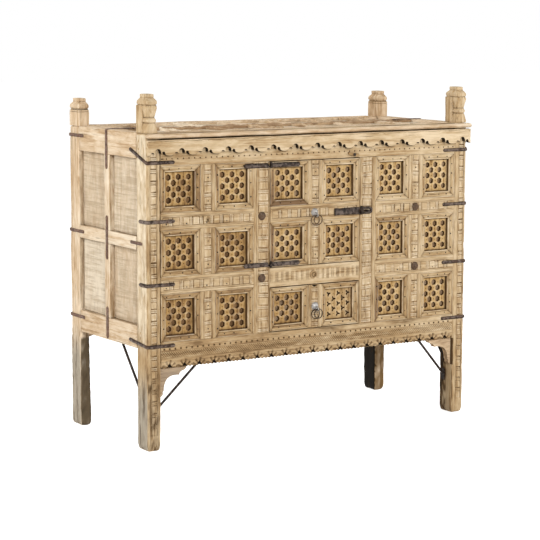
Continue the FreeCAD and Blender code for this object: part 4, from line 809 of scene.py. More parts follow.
def block_middle(start, pitch, number):
    """Middle of one cushion block of a bead strip."""
    return start + (number + 0.33) * pitch


print("nails ready")

# %% [markdown]
# ## The fixed frame of the front
# Rails and stiles hold the panels. The two stiles beside the door carry the widest bead strips, and
# their blocks are silvered by weather and scrubbing, the right one most.

# %% Door stiles
STILE_HALF, STILE_BEADS = 23.5, (358.7, 996, 41.6)


def silvered(middle, strength):
    """What weather and scrubbing left on the raised blocks of a stile."""
    def share(points, normal):
        return strength * (np.abs(points[:, 0] - middle) < 0.85 * STILE_HALF) * (normal[:, 1] < -0.9)
    return share


def beaded_stile(side, middle, seed, silver):
    piece = Piece()
    low_x, high_x = STILES[side]
    bead_board(piece, (low_x, FRONT, APRON_TOP), (high_x, FRAME_BACK, PANEL_TOP), 2, middle, STILE_HALF,
               STILE_BEADS, 4.5, seed, 0.3, 0.56, round_off=1.5, tint=0.05, grey=silvered(middle, silver),
               bleach=silvered(middle, 2 * silver))
    piece.dress(f"{side}_door_stile", "carved")


beaded_stile("left", -215.0, 61, 0.07)
beaded_stile("right", 233.0, 67, 0.16)

# %% [markdown]
# The rails of the bays and the door's middle rail carry the beads lying down. On the left bay's upper
# rail a dome stud has gone and left its dark mark.

# %% Lying rails
RAIL_HALF, RAIL_PITCH, RAIL_END = 16.0, 40.5, 8


def lost_stud(points):
    """The dark mark and the nail hole that a dome stud left on the left bay's upper rail."""
    away = np.hypot(points[:, 0] + 442, 0.8 * (points[:, 2] - 802)) + 1.5 * ripple(points, 11, 9)
    mark, hole = plateau(away, 0.0, 9.0, 3.0), plateau(away, 0.0, 2.0, 2.0)
    return 2.0 * mark + 3.0 * hole, 1.1 * mark + 0.8 * hole - 0.7


def lying_beads(piece, low_x, high_x, low_z, high_z, middle, seed, tint):
    beads = (low_x + RAIL_END, high_x - RAIL_END, RAIL_PITCH)
    bead_board(piece, (low_x, FRONT, low_z), (high_x, LATTICE_BACK, high_z), 0, middle, RAIL_HALF, beads,
               3.6, seed, 0.3, 0.62, lost_stud, round_off=1.2, tint=tint, skip=HIDDEN_BACK)


bay_rails = Piece()
for bay, (low_x, high_x) in BAYS.items():
    for level, (low_z, high_z) in enumerate(BAY_RAILS):
        seed = 71 + 5 * level + (20 if bay == "right" else 0)
        middle = (low_z + high_z) / 2 - 1
        lying_beads(bay_rails, low_x, high_x, low_z, high_z, middle, seed, 0.1 * level - 0.1)
bay_rails.dress("bay_rails", "carved")

door_rail = Piece()
lying_beads(door_rail, *DOOR[:2], *DOOR_RAIL, 806.0, 113, 0.05)
door_rail.dress("door_middle_rail", "carved", "door")

# %% [markdown]
# A muntin divides each row of a bay and each half of the door. Some of its blocks are nailed, and so
# are some blocks of the bays' rails.

# %% Muntins
MUNTIN_HALF, MUNTIN_PITCH, MUNTIN_START = 15.5, 41.0, 19
NAILED_BLOCKS = (1, 3)


def beaded_muntin(piece, middle, low_z, high_z, seed, tint, *more):
    beads = (low_z - MUNTIN_START, high_z - 2, MUNTIN_PITCH)
    low, high = (middle - MUNTIN / 2, FRONT, low_z), (middle + MUNTIN / 2, LATTICE_BACK, high_z)
    bead_board(piece, low, high, 2, middle, MUNTIN_HALF, beads, 4.0, seed, 0.32, 0.56, *more, round_off=1.2,
               tint=tint, skip=HIDDEN_BACK)


def muntin_nails(middle, low_z):
    return [(middle, block_middle(low_z - MUNTIN_START, MUNTIN_PITCH, number)) for number in NAILED_BLOCKS]


bay_muntins = Piece()
upright_nails, lying_nails = [], []
for low_x, high_x in BAYS.values():
    middle = (low_x + high_x) / 2
    for number, (low_z, high_z) in enumerate(ROWS.values()):
        beaded_muntin(bay_muntins, middle, low_z, high_z, 131 + number + int(low_x), 0.05 * number)
        upright_nails += muntin_nails(middle, low_z)
    for low_z, high_z in BAY_RAILS:
        lying_nails += [(block_middle(low_x + RAIL_END, RAIL_PITCH, number), (low_z + high_z) / 2 - 9)
                        for number in range(0, 8, 2)]
block_nails("bay_strip_nails", "carcass", upright_nails + lying_nails)
bay_muntins.dress("bay_muntins", "carved")

door_muntins = Piece()
door_middle = (DOOR[0] + DOOR[1]) / 2
beaded_muntin(door_muntins, door_middle, DOOR[2], DOOR_RAIL[0], 151, 0.1)
beaded_muntin(door_muntins, door_middle, DOOR_RAIL[1], DOOR[3], 157, 0.0)
block_nails("door_strip_nails", "door",
            muntin_nails(door_middle, DOOR[2]) + muntin_nails(door_middle, DOOR_RAIL[1]))
door_muntins.dress("door_muntins", "carved", "door")

# %% [markdown]
# The drawer has a muntin too. It has a hollow at its upper edge, dark from fingers.

# %% The drawer's muntin
drawer_muntin = Piece()
drawer_middle = (DRAWER[0] + DRAWER[1]) / 2


def finger_notch(points):
    """A half-round hollow at the drawer's upper edge, dark from use."""
    hollow = plateau(np.hypot(points[:, 0] - drawer_middle, 1.4 * (points[:, 2] - DRAWER[3])), 0.0, 9.0, 3.0)
    return 9.0 * hollow, 2.6 * hollow - 0.6


beaded_muntin(drawer_muntin, drawer_middle, DRAWER[2], DRAWER[3], 163, 0.1, finger_notch)
drawer_muntin.dress("drawer_muntin", "carved", "drawer")

# %% [markdown]
# ## Centre rail and top rail
# The rail between door and drawer is scored with groups of upright lines. The top rail has a row of
# punched dots along it, and painted shade where the fascia overhangs it.

# %% Scored rail and dotted rail
SCORED_Z, SCORED_PITCH = 581, 44.0
DOT_Z, DOT_PITCH, FIRST_DOT = 1021, 22.4, -608.6


def scored(points):
    """Groups of upright lines in a shallow band."""
    wander = 3.0 * ripple(points * np.array([1.0, 0.0, 0.0]), 60, 12)
    phase = ((points[:, 0] - STILES["left"][1] + wander) / SCORED_PITCH) % 1.0
    band = plateau(points[:, 2], SCORED_Z, 17, 3)
    lines = np.maximum.reduce([plateau(phase, at, 0.018, 0.03) for at in (0.16, 0.3, 0.62, 0.72, 0.82)])
    edge = plateau(np.abs(points[:, 2] - SCORED_Z), 20.5, 0.6, 1.2)
    return 2.0 * band * lines + 1.2 * edge, 0.75 * band * lines + 0.4 * edge - 0.15


def painted_shade_behind_fascia(points, normal):
    """Painted shade on the top rail, darkening upwards, where it shows through the fascia's arches."""
    return np.where(normal[:, 1] < -0.5, 2.3 * np.clip((points[:, 2] - 1049) / 6, 0, 1) - 0.9, -1.0)


centre_rail = Piece()
left, right, bottom, top = outline_of("centre_rail")
board(centre_rail, (left, FRONT, bottom), (right, FRAME_BACK, top), 0, 171, 1.5, 0.4, 1.0, 30,
      {0: spaced(left + 3, right - 3, 1.5),
       2: SCORED_Z + np.array([-23, -21, -19.5, -18, -15, 0, 15, 18, 19.5, 21, 23])},
      {FACE: scored}, tint=-0.2)
centre_rail.dress("centre_rail", "scored")

top_rail = Piece()
board(top_rail, (-INNER, FRONT, PANEL_TOP), (INNER, FRAME_BACK, TOP), 0, 181, 2.0, 0.5, 1.0, 40,
      {0: dot_lines(FIRST_DOT, DOT_PITCH, 630, 3.0),
       2: DOT_Z + np.array([-18, -11, -3, -1.6, 0, 1.6, 3, 10, 20, 28, 30, 32, 34, 44, 69])},
      {FACE: punched(DOT_Z, DOT_PITCH, FIRST_DOT, 3.2)}, stain=painted_shade_behind_fascia)
top_rail.dress("front_top_rail", "dotted")

# %% [markdown]
# ## Apron
# The apron has dots, a band of slanting chisel cuts and a fringed lower edge: small dark niches, each
# with a fan of cuts spread round it. Old brown polish stays along the upper edge.

# %% Fringed apron
FRINGE = 59.8
FIRST_NICHE = -10 * FRINGE


def fringe_phase(x):
    return (x - FIRST_NICHE + FRINGE / 2) % FRINGE - FRINGE / 2


def apron_carving(points):
    x, z = points[:, 0], points[:, 2]
    aside = fringe_phase(x)
    rise = z - APRON_BOTTOM
    inward = 10.5 * (1 - rise / 17) - np.abs(aside)
    niche = np.clip(inward / 1.6, 0, 1)
    away = np.hypot(aside, rise - 1)
    fan = plateau(away, 19.0, 8.0, 3.0) * np.clip(0.5 + 0.9 * np.cos(np.arctan2(rise + 1, aside) * 9), 0, 1)
    between = plateau(np.abs(aside), FRINGE / 2, 3.0, 3.0) * plateau(rise, 0, 9.0, 4.0)
    slant = plateau((x + 0.9 * z) / 8.6 % 1.0, 0.5, 0.12, 0.2) * plateau(z, 337.5, 10.5, 2.0)
    scribe = np.maximum.reduce([plateau(z, level, 0.4, 1.3) for level in (324, 351.5, 364.5, 313)])
    # The niches are painted near black, as shade in their depth, and a little round them.
    soot_and_shade = np.clip((inward + 2.5) / 2.5, 0, 1)
    depth = np.maximum.reduce([9.0 * niche, 2.6 * fan, 2.4 * between, 2.0 * slant, 1.3 * scribe])
    dirt_and_shade = np.maximum.reduce([2.0 * soot_and_shade, 0.7 * fan, 0.6 * between, 0.7 * slant, 0.55 * scribe])
    return depth, dirt_and_shade


def fringe_edge(points):
    """Scallops the lower edge into small petals."""
    low = np.clip((APRON_BOTTOM + 14 - points[:, 2]) / 14, 0, 1)
    petals = 4.0 * np.abs(np.cos((fringe_phase(points[:, 0]) / FRINGE) * 4 * math.pi))
    points[:, 2] += petals * low * low
    return points


def old_polish(points, normal):
    """A line of brown polish left along the apron's upper edge."""
    patches = 0.35 + 0.45 * ripple(points * np.array([1.0, 0.0, 0.3]), 170, 4)
    return np.where(normal[:, 1] < -0.9, np.clip((points[:, 2] - 358) / 16, 0, 1) * patches, -1.0)


apron = Piece()
apron_levels = np.concatenate([spaced(292, 316, 1.7), spaced(318, 326, 1.6), spaced(328, 350, 2.2),
                               spaced(351, 366, 1.3), [370, 376]])
board(apron, (-INNER, FRONT, APRON_BOTTOM), (INNER, FRAME_BACK, APRON_TOP), 0, 191, 1.5, 0.4, 1.0, 40,
      {0: spaced(-INNER + 2, INNER - 2, 2.1), 2: apron_levels},
      {FACE: several(apron_carving, punched(358, DOT_PITCH, -620, 4.2))}, tint=0.05, warp=fringe_edge,
      stain=old_polish, skip=HIDDEN_BACK)
apron.dress("apron_rail", "fringed")

# %% [markdown]
# ## Mitred frames and pierced panels
# Each opening is a picture frame of four bevelled strips, nailed on, with a pierced plate behind it.
# The strip is a drawn profile, given as distance in, depth, and dirt with painted shade in its sunk steps
# (pale rubbing below zero), swept between two mitres.

# %% Moulding strips
PROFILE = np.array([(0.3, 18.0, 1.0), (0.3, 3.0, 0.6), (0.4, 0.9, -0.3), (1.2, 0.3, -0.6), (3.6, 0.5, -0.3),
                    (4.3, 1.6, 0.9), (5.2, 1.7, 0.4), (6.0, 1.5, -0.1), (12.0, 3.6, 0.12), (17.6, 5.6, 0.2),
                    (18.3, 6.9, 0.9), (19.2, 6.6, -0.1), (21.0, 6.2, -0.6), (23.0, 7.2, -0.6),
                    (23.9, 8.8, 0.1), (24.0, 13.0, 1.0), (24.0, 18.0, 1.3)])
PROFILE_SCALE = np.array([[0.9], [1.0], [1.0]])
MITRE_GAP = 0.35
SIDES = {"bottom": ((1, 0), (0, 1)), "right": ((0, 1), (-1, 0)),
         "top": ((-1, 0), (0, -1)), "left": ((0, -1), (1, 0))}


def moulding_frame(piece, middle_x, middle_z, width, height, seed, tints):
    rng = chance(seed)
    inset, depth, dirt_and_shade = PROFILE.T * PROFILE_SCALE
    share = np.linspace(-1, 1, 15)
    for number, (side, (run, rise)) in enumerate(SIDES.items()):
        length = width if run[0] else height
        reach = height / 2 if run[0] else width / 2
        along = share[:, None] * (length / 2 - inset[None, :] - MITRE_GAP)
        out = np.broadcast_to(inset[None, :] - reach, along.shape)
        x = middle_x + along * run[0] + out * rise[0]
        z = middle_z + along * run[1] + out * rise[1]
        flat = np.stack([along.ravel(), out.ravel(), np.zeros(along.size)], axis=1)
        sway = (ripple(flat * np.array([0.4, 1, 1]), 30, seed * 7 + number) + 1.0) * 0.3
        sunk = np.broadcast_to(depth, along.shape).ravel()
        points = np.stack([x.ravel(), FRONT + sunk + sway, z.ravel()], axis=1)
        wood = np.stack([along.ravel(), out.ravel(), sunk], axis=1)
        ends = np.clip((np.abs(share) - 0.965) / 0.035, 0, 1)[:, None] * 0.5
        tint = tints.get(side, rng.normal(-0.1, 0.2))
        grime_and_shade = (np.broadcast_to(dirt_and_shade, along.shape) + ends).ravel()
        piece.add(points, skin(*along.shape), wood * MM + rng.uniform(-4, 4, 3), grime_and_shade, tint)


print(f"a strip has {len(PROFILE)} points in its section")

# %% [markdown]
# A plate is cut by a triangulation that keeps every hole's outline as an edge. Triangles whose middle
# falls inside a hole are then thrown away; a ray to one side that crosses the outline an odd number
# of times tells which they are.

# %% Holes and the cutting of a plate
def six_sided(angle):
    """A hexagon that stands on a point."""
    from_corner = (angle - math.pi / 3) % (math.pi / 3) - math.pi / 6
    return 12.7 * math.cos(math.pi / 6) / np.cos(math.pi / 6 - np.abs(from_corner))


def three_armed(angle):
    return 4.6 + 7.6 * (0.5 + 0.5 * np.cos(3 * angle)) ** 1.5


def cut_out(outline, loops):
    """Triangles between an outline and the loops inside it, as rows of point numbers."""
    edges = [(loop[n], loop[(n + 1) % len(loop)]) for loop in loops for n in range(len(loop))]
    corners = [Vector(point) for point in outline]
    _, _, faces, origin, _, _ = delaunay_2d_cdt(corners, edges, [], 1, 1e-5)
    faces = np.array([[origin[corner][0] for corner in face] for face in faces])
    flat = np.array(outline)
    first, second, third = flat[faces[:, 0]], flat[faces[:, 1]], flat[faces[:, 2]]
    turn = (second - first)[:, 0] * (third - first)[:, 1] - (second - first)[:, 1] * (third - first)[:, 0]
    faces = np.where(turn[:, None] > 0, faces, faces[:, ::-1])
    middles = flat[faces].mean(axis=1)
    x, z = middles[:, :1], middles[:, 1:]
    keep = np.ones(len(faces), bool)
    for loop in loops[1:]:
        ring = flat[loop]
        after = np.roll(ring, -1, axis=0)
        crosses = (ring[:, 1] > z) != (after[:, 1] > z)
        slope = (z - ring[:, 1]) * (after[:, 0] - ring[:, 0]) / (after[:, 1] - ring[:, 1] + 1e-9)
        keep &= (crosses & (x < ring[:, 0] + slope)).sum(axis=1) % 2 == 0
    return faces[keep]


print("hole outlines: six-sided and three-armed")

# %% [markdown]
# Thirteen holes go right through, in staggered rows, and twelve small pits lie between them. Every
# hole is turned, sized and placed a little differently, as a hand would cut it. The plate is painted
# with shade in its corners and along its edge, inside the frame, and with a pale highlight round each
# hole; a row of points near the edge keeps the corners' painted shade from spreading over the whole plate.

# %% The front of a plate
PLATE_EDGE, PLATE_RIM = 20.6, 5
HOLE_COUNT, PIT_COUNT, PIT_RADIUS = 24, 7, 2.3
# Painted shade in the plate's corners and along its edge, a painted highlight round each hole.
CORNER_SHADE, RIM_SHADE, HOLE_RIM_HIGHLIGHT, PIT_DIRT = 1.3, 0.45, -0.35, 0.1


def staggered(column, row):
    """Places of the holes, and of the pits between them, from the middle of the plate."""
    holes = [((c - 1) * column, (r - 1) * 2 * row) for r in range(3) for c in range(3)]
    holes += [((c - 0.5) * column, (r - 0.5) * 2 * row) for r in range(2) for c in range(2)]
    pits = [((c - 0.5) * column, (r - 1) * 2 * row) for r in range(3) for c in range(2)]
    pits += [((c - 1) * column, (r - 0.5) * 2 * row) for r in range(2) for c in range(3)]
    return holes, pits


def plate_front(rng, width, height, outline):
    """Points of a plate's front with their painted shade and highlight, the loops among them, and the rings
    that walls follow.
    """
    column, row = (width - 40) / 3, (height - 48 - 15) / 5
    holes, pits = staggered(column, row)
    edge_x, edge_z = width / 2 - PLATE_EDGE, height / 2 - PLATE_EDGE
    rim_x, rim_z = edge_x - PLATE_RIM, edge_z - PLATE_RIM
    corners = [(-edge_x, -edge_z), (edge_x, -edge_z), (edge_x, edge_z), (-edge_x, edge_z)]
    rim = [(share * rim_x, side * rim_z) for share in np.linspace(-1, 1, 9) for side in (-1, 1)]
    rim += [(side * rim_x, share * rim_z) for share in np.linspace(-0.75, 0.75, 7) for side in (-1, 1)]
    flat, dirt_and_shade = corners + rim, [CORNER_SHADE] * 4 + [RIM_SHADE] * len(rim)
    loops, rings = [[0, 1, 2, 3]], []
    for number, spot in enumerate(holes + pits):
        through = number < len(holes)
        count = HOLE_COUNT if through else PIT_COUNT
        angle = np.linspace(0, 2 * math.pi, count, endpoint=False)
        size = outline(angle + rng.normal(0, 0.12)) if through else np.full(count, PIT_RADIUS)
        size *= math.hypot(column / 2, row) / 30 * rng.uniform(0.95, 1.03)
        ring = np.stack([np.cos(angle), np.sin(angle)], axis=1) * size[:, None]
        centre = np.array(spot) + rng.uniform(-0.6, 0.6, 2)
        loops.append(list(range(len(flat), len(flat) + count)))
        flat += [tuple(point) for point in centre + ring]
        dirt_and_shade += [HOLE_RIM_HIGHLIGHT if through else PIT_DIRT] * count
        rings.append((centre, ring, through))
    return flat, dirt_and_shade, loops, rings


print(f"holes of {HOLE_COUNT} sides, pits of {PIT_COUNT}")

# %% [markdown]
# Each wall is a few rings that narrow as they go down, given as scale, depth and painted shade, which
# darkens them towards the back. A pit is closed at its bottom. The back of the plate is cut by the same
# triangulation, and four faces close its sides.

# %% Pierced plates
PLATE_THICK = 10.0
HOLE_WALL = ((0.98, 1.3, 0.35), (0.91, 4.0, 1.0), (0.83, PLATE_THICK, 1.45))
PIT_WALL = ((0.8, 1.9, 0.6), (0.4, 3.0, 1.3))


def pierced_plate(piece, middle_x, middle_z, width, height, seed, outline, tint, front_depth):
    rng = chance(seed)
    flat, front_light_and_shade, loops, rings = plate_front(rng, width, height, outline)
    total = len(flat)
    sway = 0.5 + 0.4 * ripple(np.column_stack([flat, np.zeros(total)]), 40, seed)
    points, dirt_and_shade = [np.column_stack([flat, sway])], [front_light_and_shade]
    faces, back_loops = [cut_out(flat, loops)], []
    for (centre, ring, through), loop in zip(rings, loops[1:]):
        before, count = np.array(loop), len(loop)
        for scale, depth, grime_and_shade in HOLE_WALL if through else PIT_WALL:
            here = np.arange(count) + total
            points.append(np.column_stack([centre + ring * scale, np.full(count, depth)]))
            dirt_and_shade.append(np.full(count, grime_and_shade))
            faces.append(np.stack([before, np.roll(before, -1), np.roll(here, -1), here], axis=1))
            before, total = here, total + count
        if through:
            back_loops.append(before)
        else:
            faces.append(before[None, :])
    front, rear = np.arange(4), np.arange(4) + total
    points.append(np.column_stack([flat[:4], np.full(4, PLATE_THICK)]))
    dirt_and_shade.append(np.full(4, 1.0))
    every = np.concatenate(points)
    numbers = np.concatenate([rear] + back_loops)
    stops = np.cumsum([4] + [len(loop) for loop in back_loops])
    local = [[0, 1, 2, 3]] + [list(range(start, stop)) for start, stop in zip(stops, stops[1:])]
    faces.append(numbers[cut_out([tuple(point) for point in every[numbers, :2]], local)][:, ::-1])
    faces.append(np.stack([front, rear, np.roll(rear, -1), np.roll(front, -1)], axis=1))
    x, z, depth = every.T
    shaped = np.column_stack([middle_x + x, FRONT + front_depth + depth, middle_z + z])
    wood = every[:, [1, 0, 2]] * MM + rng.uniform(-4, 4, 3)
    piece.add(shaped, faces, wood, np.concatenate(dirt_and_shade), tint, 0.25 if outline is three_armed else 0.0)


print("plate maker ready")

# %% [markdown]
# An opening needs its frame, its plate and three nails in every strip. The frames of a bay, the door
# or the drawer are gathered in one piece, and so are their plates and nails.

# %% One opening
def frame_nails(piece, middle_x, middle_z, width, height, seed):
    """Three nails along each strip of a frame."""
    rng = chance(seed)
    for side, (run, rise) in SIDES.items():
        length = (width if run[0] else height) / 2 - 20
        reach = (height if run[0] else width) / 2 - 11.5
        for share in (-0.72, 0.05, 0.74):
            at = (share + rng.normal(0, 0.08)) * length
            nail(piece, middle_x + at * run[0] - reach * rise[0], FRONT + 3.2,
                 middle_z + at * run[1] - reach * rise[1], 2.4, seed + int(900 * share) + len(side) + 1000)


def fill_openings(name, body, openings):
    strips, plates, nails = Piece(), Piece(), Piece()
    for x, z, width, height, seed, tints, outline, tint, depth in openings:
        moulding_frame(strips, x, z, width, height, seed, tints)
        pierced_plate(plates, x, z, width, height, seed + 1, outline, tint, depth)
        frame_nails(nails, x, z, width, height, seed + 2)
    strips.dress(f"{name}_mouldings", "mitred", body, "moulding_wood", MOULDED)
    plates.dress(f"{name}_lattices", "pierced", body, "lattice_wood", PIERCED, 35)
    nails.make(f"{name}_moulding_nails", body, [], "forged_iron", IRON)


def halves(low_x, high_x):
    """Middles of the two panels beside a muntin, and the width of one."""
    panel = (high_x - low_x - MUNTIN) / 2
    return [low_x + panel / 2 + side * (panel + MUNTIN) for side in (0, 1)], panel


print("openings ready")

# %% [markdown]
# Eighteen openings follow: twelve in the bays, four in the door and two in the drawer. Some strips
# have been replaced over the years and are browner, so a few sides get a tint of their own. The
# drawer's right plate has three-armed holes and lies less deep.

# %% Bays, door and drawer
PLATE_DEPTH, SLIT_PLATE_DEPTH = 18.0, 14.0
BROWN_IN_BAYS = {("left", "upper", 0): {"right": 1.2}, ("left", "middle", 1): {"left": 1.0, "bottom": 0.8},
                 ("left", "lower", 0): {"bottom": 0.7}, ("right", "lower", 0): {"left": 0.9},
                 ("left", "middle", 0): {"top": 0.3}}
BROWN_IN_DOOR = {(1, 0): {"bottom": 1.8, "left": 0.9}, (0, 0): {"left": 0.9}}

openings = []
for bay, (low_x, high_x) in BAYS.items():
    middles, panel = halves(low_x, high_x)
    for level, (row, (low_z, high_z)) in enumerate(ROWS.items()):
        tint = 0.1 - 0.1 * level + (0.35 if bay == "left" else 0.0)
        for side, x in enumerate(middles):
            seed = 300 + 40 * level + 10 * side + (200 if bay == "right" else 0)
            openings.append((x, (low_z + high_z) / 2, panel, high_z - low_z, seed,
                             BROWN_IN_BAYS.get((bay, row, side), {}), six_sided, tint, PLATE_DEPTH))
fill_openings("bay", "carcass", openings)

openings = []
middles, panel = halves(*DOOR[:2])
for level, (low_z, high_z) in enumerate(((DOOR[2], DOOR_RAIL[0]), (DOOR_RAIL[1], DOOR[3]))):
    for side, x in enumerate(middles):
        openings.append((x, (low_z + high_z) / 2, panel, high_z - low_z, 800 + 20 * level + 10 * side,
                         BROWN_IN_DOOR.get((level, side), {}), six_sided, 0.05, PLATE_DEPTH))
fill_openings("door", "door", openings)

(left, right), panel = halves(*DRAWER[:2])
place = ((DRAWER[2] + DRAWER[3]) / 2, panel, DRAWER[3] - DRAWER[2])
fill_openings("drawer", "drawer", [(left, *place, 900, {}, six_sided, 0.25, PLATE_DEPTH),
                                   (right, *place, 910, {}, three_armed, 0.0, SLIT_PLATE_DEPTH)])

# %% [markdown]
# ## Fascia and nosing
# A scalloped board hangs under the top's round nosing, with round lobes and small arches by turns.
# The board is made straight, with a grid line on every cusp, and its lower edge is then lifted.

# %% Scalloped fascia and nosing
ARCH_PITCH, FIRST_ARCH = 93.2, -652.4
FASCIA_LOW, FASCIA_TOP = outline_of("scalloped_fascia")[2:]
FASCIA_HANG = FASCIA_TOP - FASCIA_LOW


def scallop(x):
    """Height of the fascia's lower edge above its lowest point: lobe, small notch, cusp and arch."""
    beside = (x - FIRST_ARCH + ARCH_PITCH / 2) % ARCH_PITCH - ARCH_PITCH / 2
    away = np.abs(beside)
    arch = 12 + 12.5 * np.sqrt(np.clip(1 - (away / 12.0) ** 2, 0, 1))
    notch = 8 + np.where(beside > 0, 7.0, 3.5) * np.sqrt(np.clip(1 - ((away - 21.75) / 6.25) ** 2, 0, 1))
    lobe = 8 * (1 - np.sqrt(np.clip(1 - (0.97 * (46.6 - away) / 18.6) ** 2, 0, 1)))
    return np.select([away < 12, away < 15.5, away < 28], [arch, np.full(len(x), 8.0), notch], lobe)


def hang_scallops(points):
    share = np.clip((FASCIA_TOP - points[:, 2]) / FASCIA_HANG, 0, 1)
    points[:, 2] += scallop(points[:, 0]) * share
    return points


def fascia_carving(points):
    groove = plateau((points[:, 2] - FASCIA_LOW) / FASCIA_HANG, 0.9, 0.01, 0.03)
    return 1.4 * groove, 0.6 * groove


def shaded_below(dirt_and_shade, slope):
    """Painted shade on the faces that look down."""
    def stain(points, normal):
        return np.where(normal[:, 2] < slope, dirt_and_shade, -1.0)
    return stain


offsets = np.array([-46.6, -42, -38, -34, -31, -29.3, -28.1, -27.9, -27, -25, -21.8, -18.5, -16.5, -15.6,
                    -15.4, -13.8, -12.1, -11.9, -11, -9, -6, -3, 0])
offsets = np.concatenate([offsets, -offsets[-2:0:-1]])
arches = (np.arange(-1, 16)[:, None] * ARCH_PITCH + FIRST_ARCH + offsets[None, :]).ravel()
levels = np.array([0.06, 0.12, 0.145, 0.16, 0.175, 0.2, 0.4, 0.6, 0.86, 0.885, 0.9, 0.915, 0.94])
fascia = Piece()
# The fascia's downward faces, under the lobes and in the arches, are painted near black as shade.
board(fascia, (-HALF - 4, FRONT - 20, FASCIA_LOW), (HALF + 4, FRONT, FASCIA_TOP), 0, 211,
      1.6, 0.4, 0.8, 40, {0: arches, 2: FASCIA_LOW + FASCIA_HANG * levels}, {FACE: fascia_carving}, tint=-0.3,
      warp=hang_scallops, stain=shaded_below(1.7, -0.3))
fascia.dress("scalloped_fascia", "carved")

nosing = Piece()
# The nosing's underside is darkened with painted shade.
board(nosing, (-HALF - 6, FRONT - 27, UNDER_TOP), (HALF + 6, FRONT + 2, TOP), 0, 221, 7.4, 0.9, 0.5, 18,
      tint=0.35, stain=shaded_below(0.45, -0.2))
nosing.dress("top_nosing", "wear_and_light_amount", finish=PLAIN)

# %% [markdown]
# ## The top
# The top is the roughest part: three long rails and twelve cross bars stand proud of fourteen sunk,
# split panels.

# %% The rough top
TOP_RAIL, TOP_BAR, TOP_SUNK = 46, 40, 8
depth_inside = BACK_RAIL_FRONT - FRAME_BACK
row_depth = (depth_inside - 3 * TOP_RAIL) / 2
panel_width = (2 * INNER - 6 * TOP_BAR) / 7
rail_rows = [FRAME_BACK + n * (TOP_RAIL + row_depth) for n in range(3)]
boards("top_long_rails", "wear_and_light_amount", PLAIN, 0,
       [((-INNER, y, UNDER_TOP), (INNER, y + TOP_RAIL, TOP)) for y in rail_rows], 231,
       round_off=4.0, rough=3.8, chip=1.4, step=7, sink=0.55, tint_spread=0.4, run=0.8)
bars, panels = [], []
for rail_y in rail_rows[:2]:
    low_y, high_y = rail_y + TOP_RAIL, rail_y + TOP_RAIL + row_depth
    for n in range(7):
        x = -INNER + n * (panel_width + TOP_BAR)
        panels.append(((x, low_y, UNDER_TOP), (x + panel_width, high_y, TOP - TOP_SUNK)))
        if n < 6:
            bars.append(((x + panel_width, low_y, UNDER_TOP), (x + panel_width + TOP_BAR, high_y, TOP)))
boards("top_cross_bars", "wear_and_light_amount", PLAIN, 1, bars, 241,
       round_off=4.0, rough=4.2, chip=1.4, step=7, sink=0.45, tint_spread=0.5, run=0.8)
boards("top_panels", "wear_and_light_amount", SAWN, 1, panels, 251,
       round_off=2.0, rough=2.2, chip=1.0, step=12, tint_spread=0.7)

# %% [markdown]
# ## Side walls and back
# The sides are plain frames with four sunk, saw-marked panels. The back is upright boards between
# two rails.

# %% Sides and back
SIDE_RAILS = ((1021, TOP), (703, 750), (357, 437))
SIDE_ROWS = ((750, 1021), (437, 703))
SIDE_FRONT, SIDE_BACK = FRONT + POST_Y, BACK - POST_Y
MUNTIN_FRONT, MUNTIN_BACK = -9, 33
BACK_ROW = outline_of("back_boards")[2:]


def old_varnish(points, normal):
    """The sunk edges of the side frames were never scrubbed and stay golden brown."""
    return np.where((np.abs(normal[:, 0]) < 0.3) & (np.abs(points[:, 2] - PANELS_Z) < 330), 0.5, -1.0)


rails, muntins, side_panels = [], [], []
for low_x, face, panel_x in ((-HALF, -HALF, -HALF + 18), (INNER, HALF - 40, HALF - 30)):
    for low_z, high_z in SIDE_RAILS:
        rails.append(((low_x, SIDE_FRONT, low_z), (low_x + POST_X, SIDE_BACK, high_z)))
    for low_z, high_z in SIDE_ROWS:
        muntins.append(((face, MUNTIN_FRONT, low_z), (face + 40, MUNTIN_BACK, high_z)))
        for low_y, high_y in ((SIDE_FRONT, MUNTIN_FRONT), (MUNTIN_BACK, SIDE_BACK)):
            side_panels.append(((panel_x, low_y, low_z), (panel_x + 12, high_y, high_z)))
boards("side_rails", "wear_and_light_amount", PLAIN, 1, rails, 261, rough=0.6, chip=1.0, step=20, stain=old_varnish,
       tints=[-0.1, -0.7, -0.15] * 2)
boards("side_muntins", "wear_and_light_amount", PLAIN, 2, muntins, 271, rough=0.6, chip=1.2, step=20, stain=old_varnish,
       tints=[-0.3, -0.5] * 2)
boards("side_panels", "sawn", SAWN, 2, side_panels, 281, rough=0.6, step=24,
       tints=[-0.3, 0.05, -0.05, -0.9] * 2)

back_levels = ((BACK_ROW[1], TOP), (BACK_RAIL_LOW, BACK_ROW[0]))
boards("back_rails", "wear_and_light_amount", PLAIN, 0,
       [((-INNER, BACK_RAIL_FRONT, low_z), (INNER, BACK, high_z)) for low_z, high_z in back_levels], 291,
       rough=0.8, chip=1.2, step=24)
width = 2 * INNER / 8
boards("back_boards", "sawn", SAWN, 2,
       [((-INNER + n * width, BACK - 28, BACK_ROW[0]), (-INNER + (n + 1) * width, BACK - 14, BACK_ROW[1]))
        for n in range(8)], 301, rough=0.8, chip=1.0, step=24)

# %% [markdown]
# ## Inside
# What an open door or drawer shows inside is unbleached and darker. Only the faces that look out
# through the pierced plates were bleached with them.

# %% Boards of the inside
FLOOR_LOW, FLOOR_TOP = outline_of("floor_boards")[2:]
BEARER, BEARER_LOW = 25, outline_of("floor_bearers")[2]
DUST_BOARD, RUNNER, RUNNER_TOP, THIN = 12, 30, 384.7, 14
CASE_TOP = outline_of("drawer_case")[3] - DUST_BOARD
DRAWER_BACK, DRAWER_SIDE_TOP = span("drawer_sides_and_back")[1][1:]


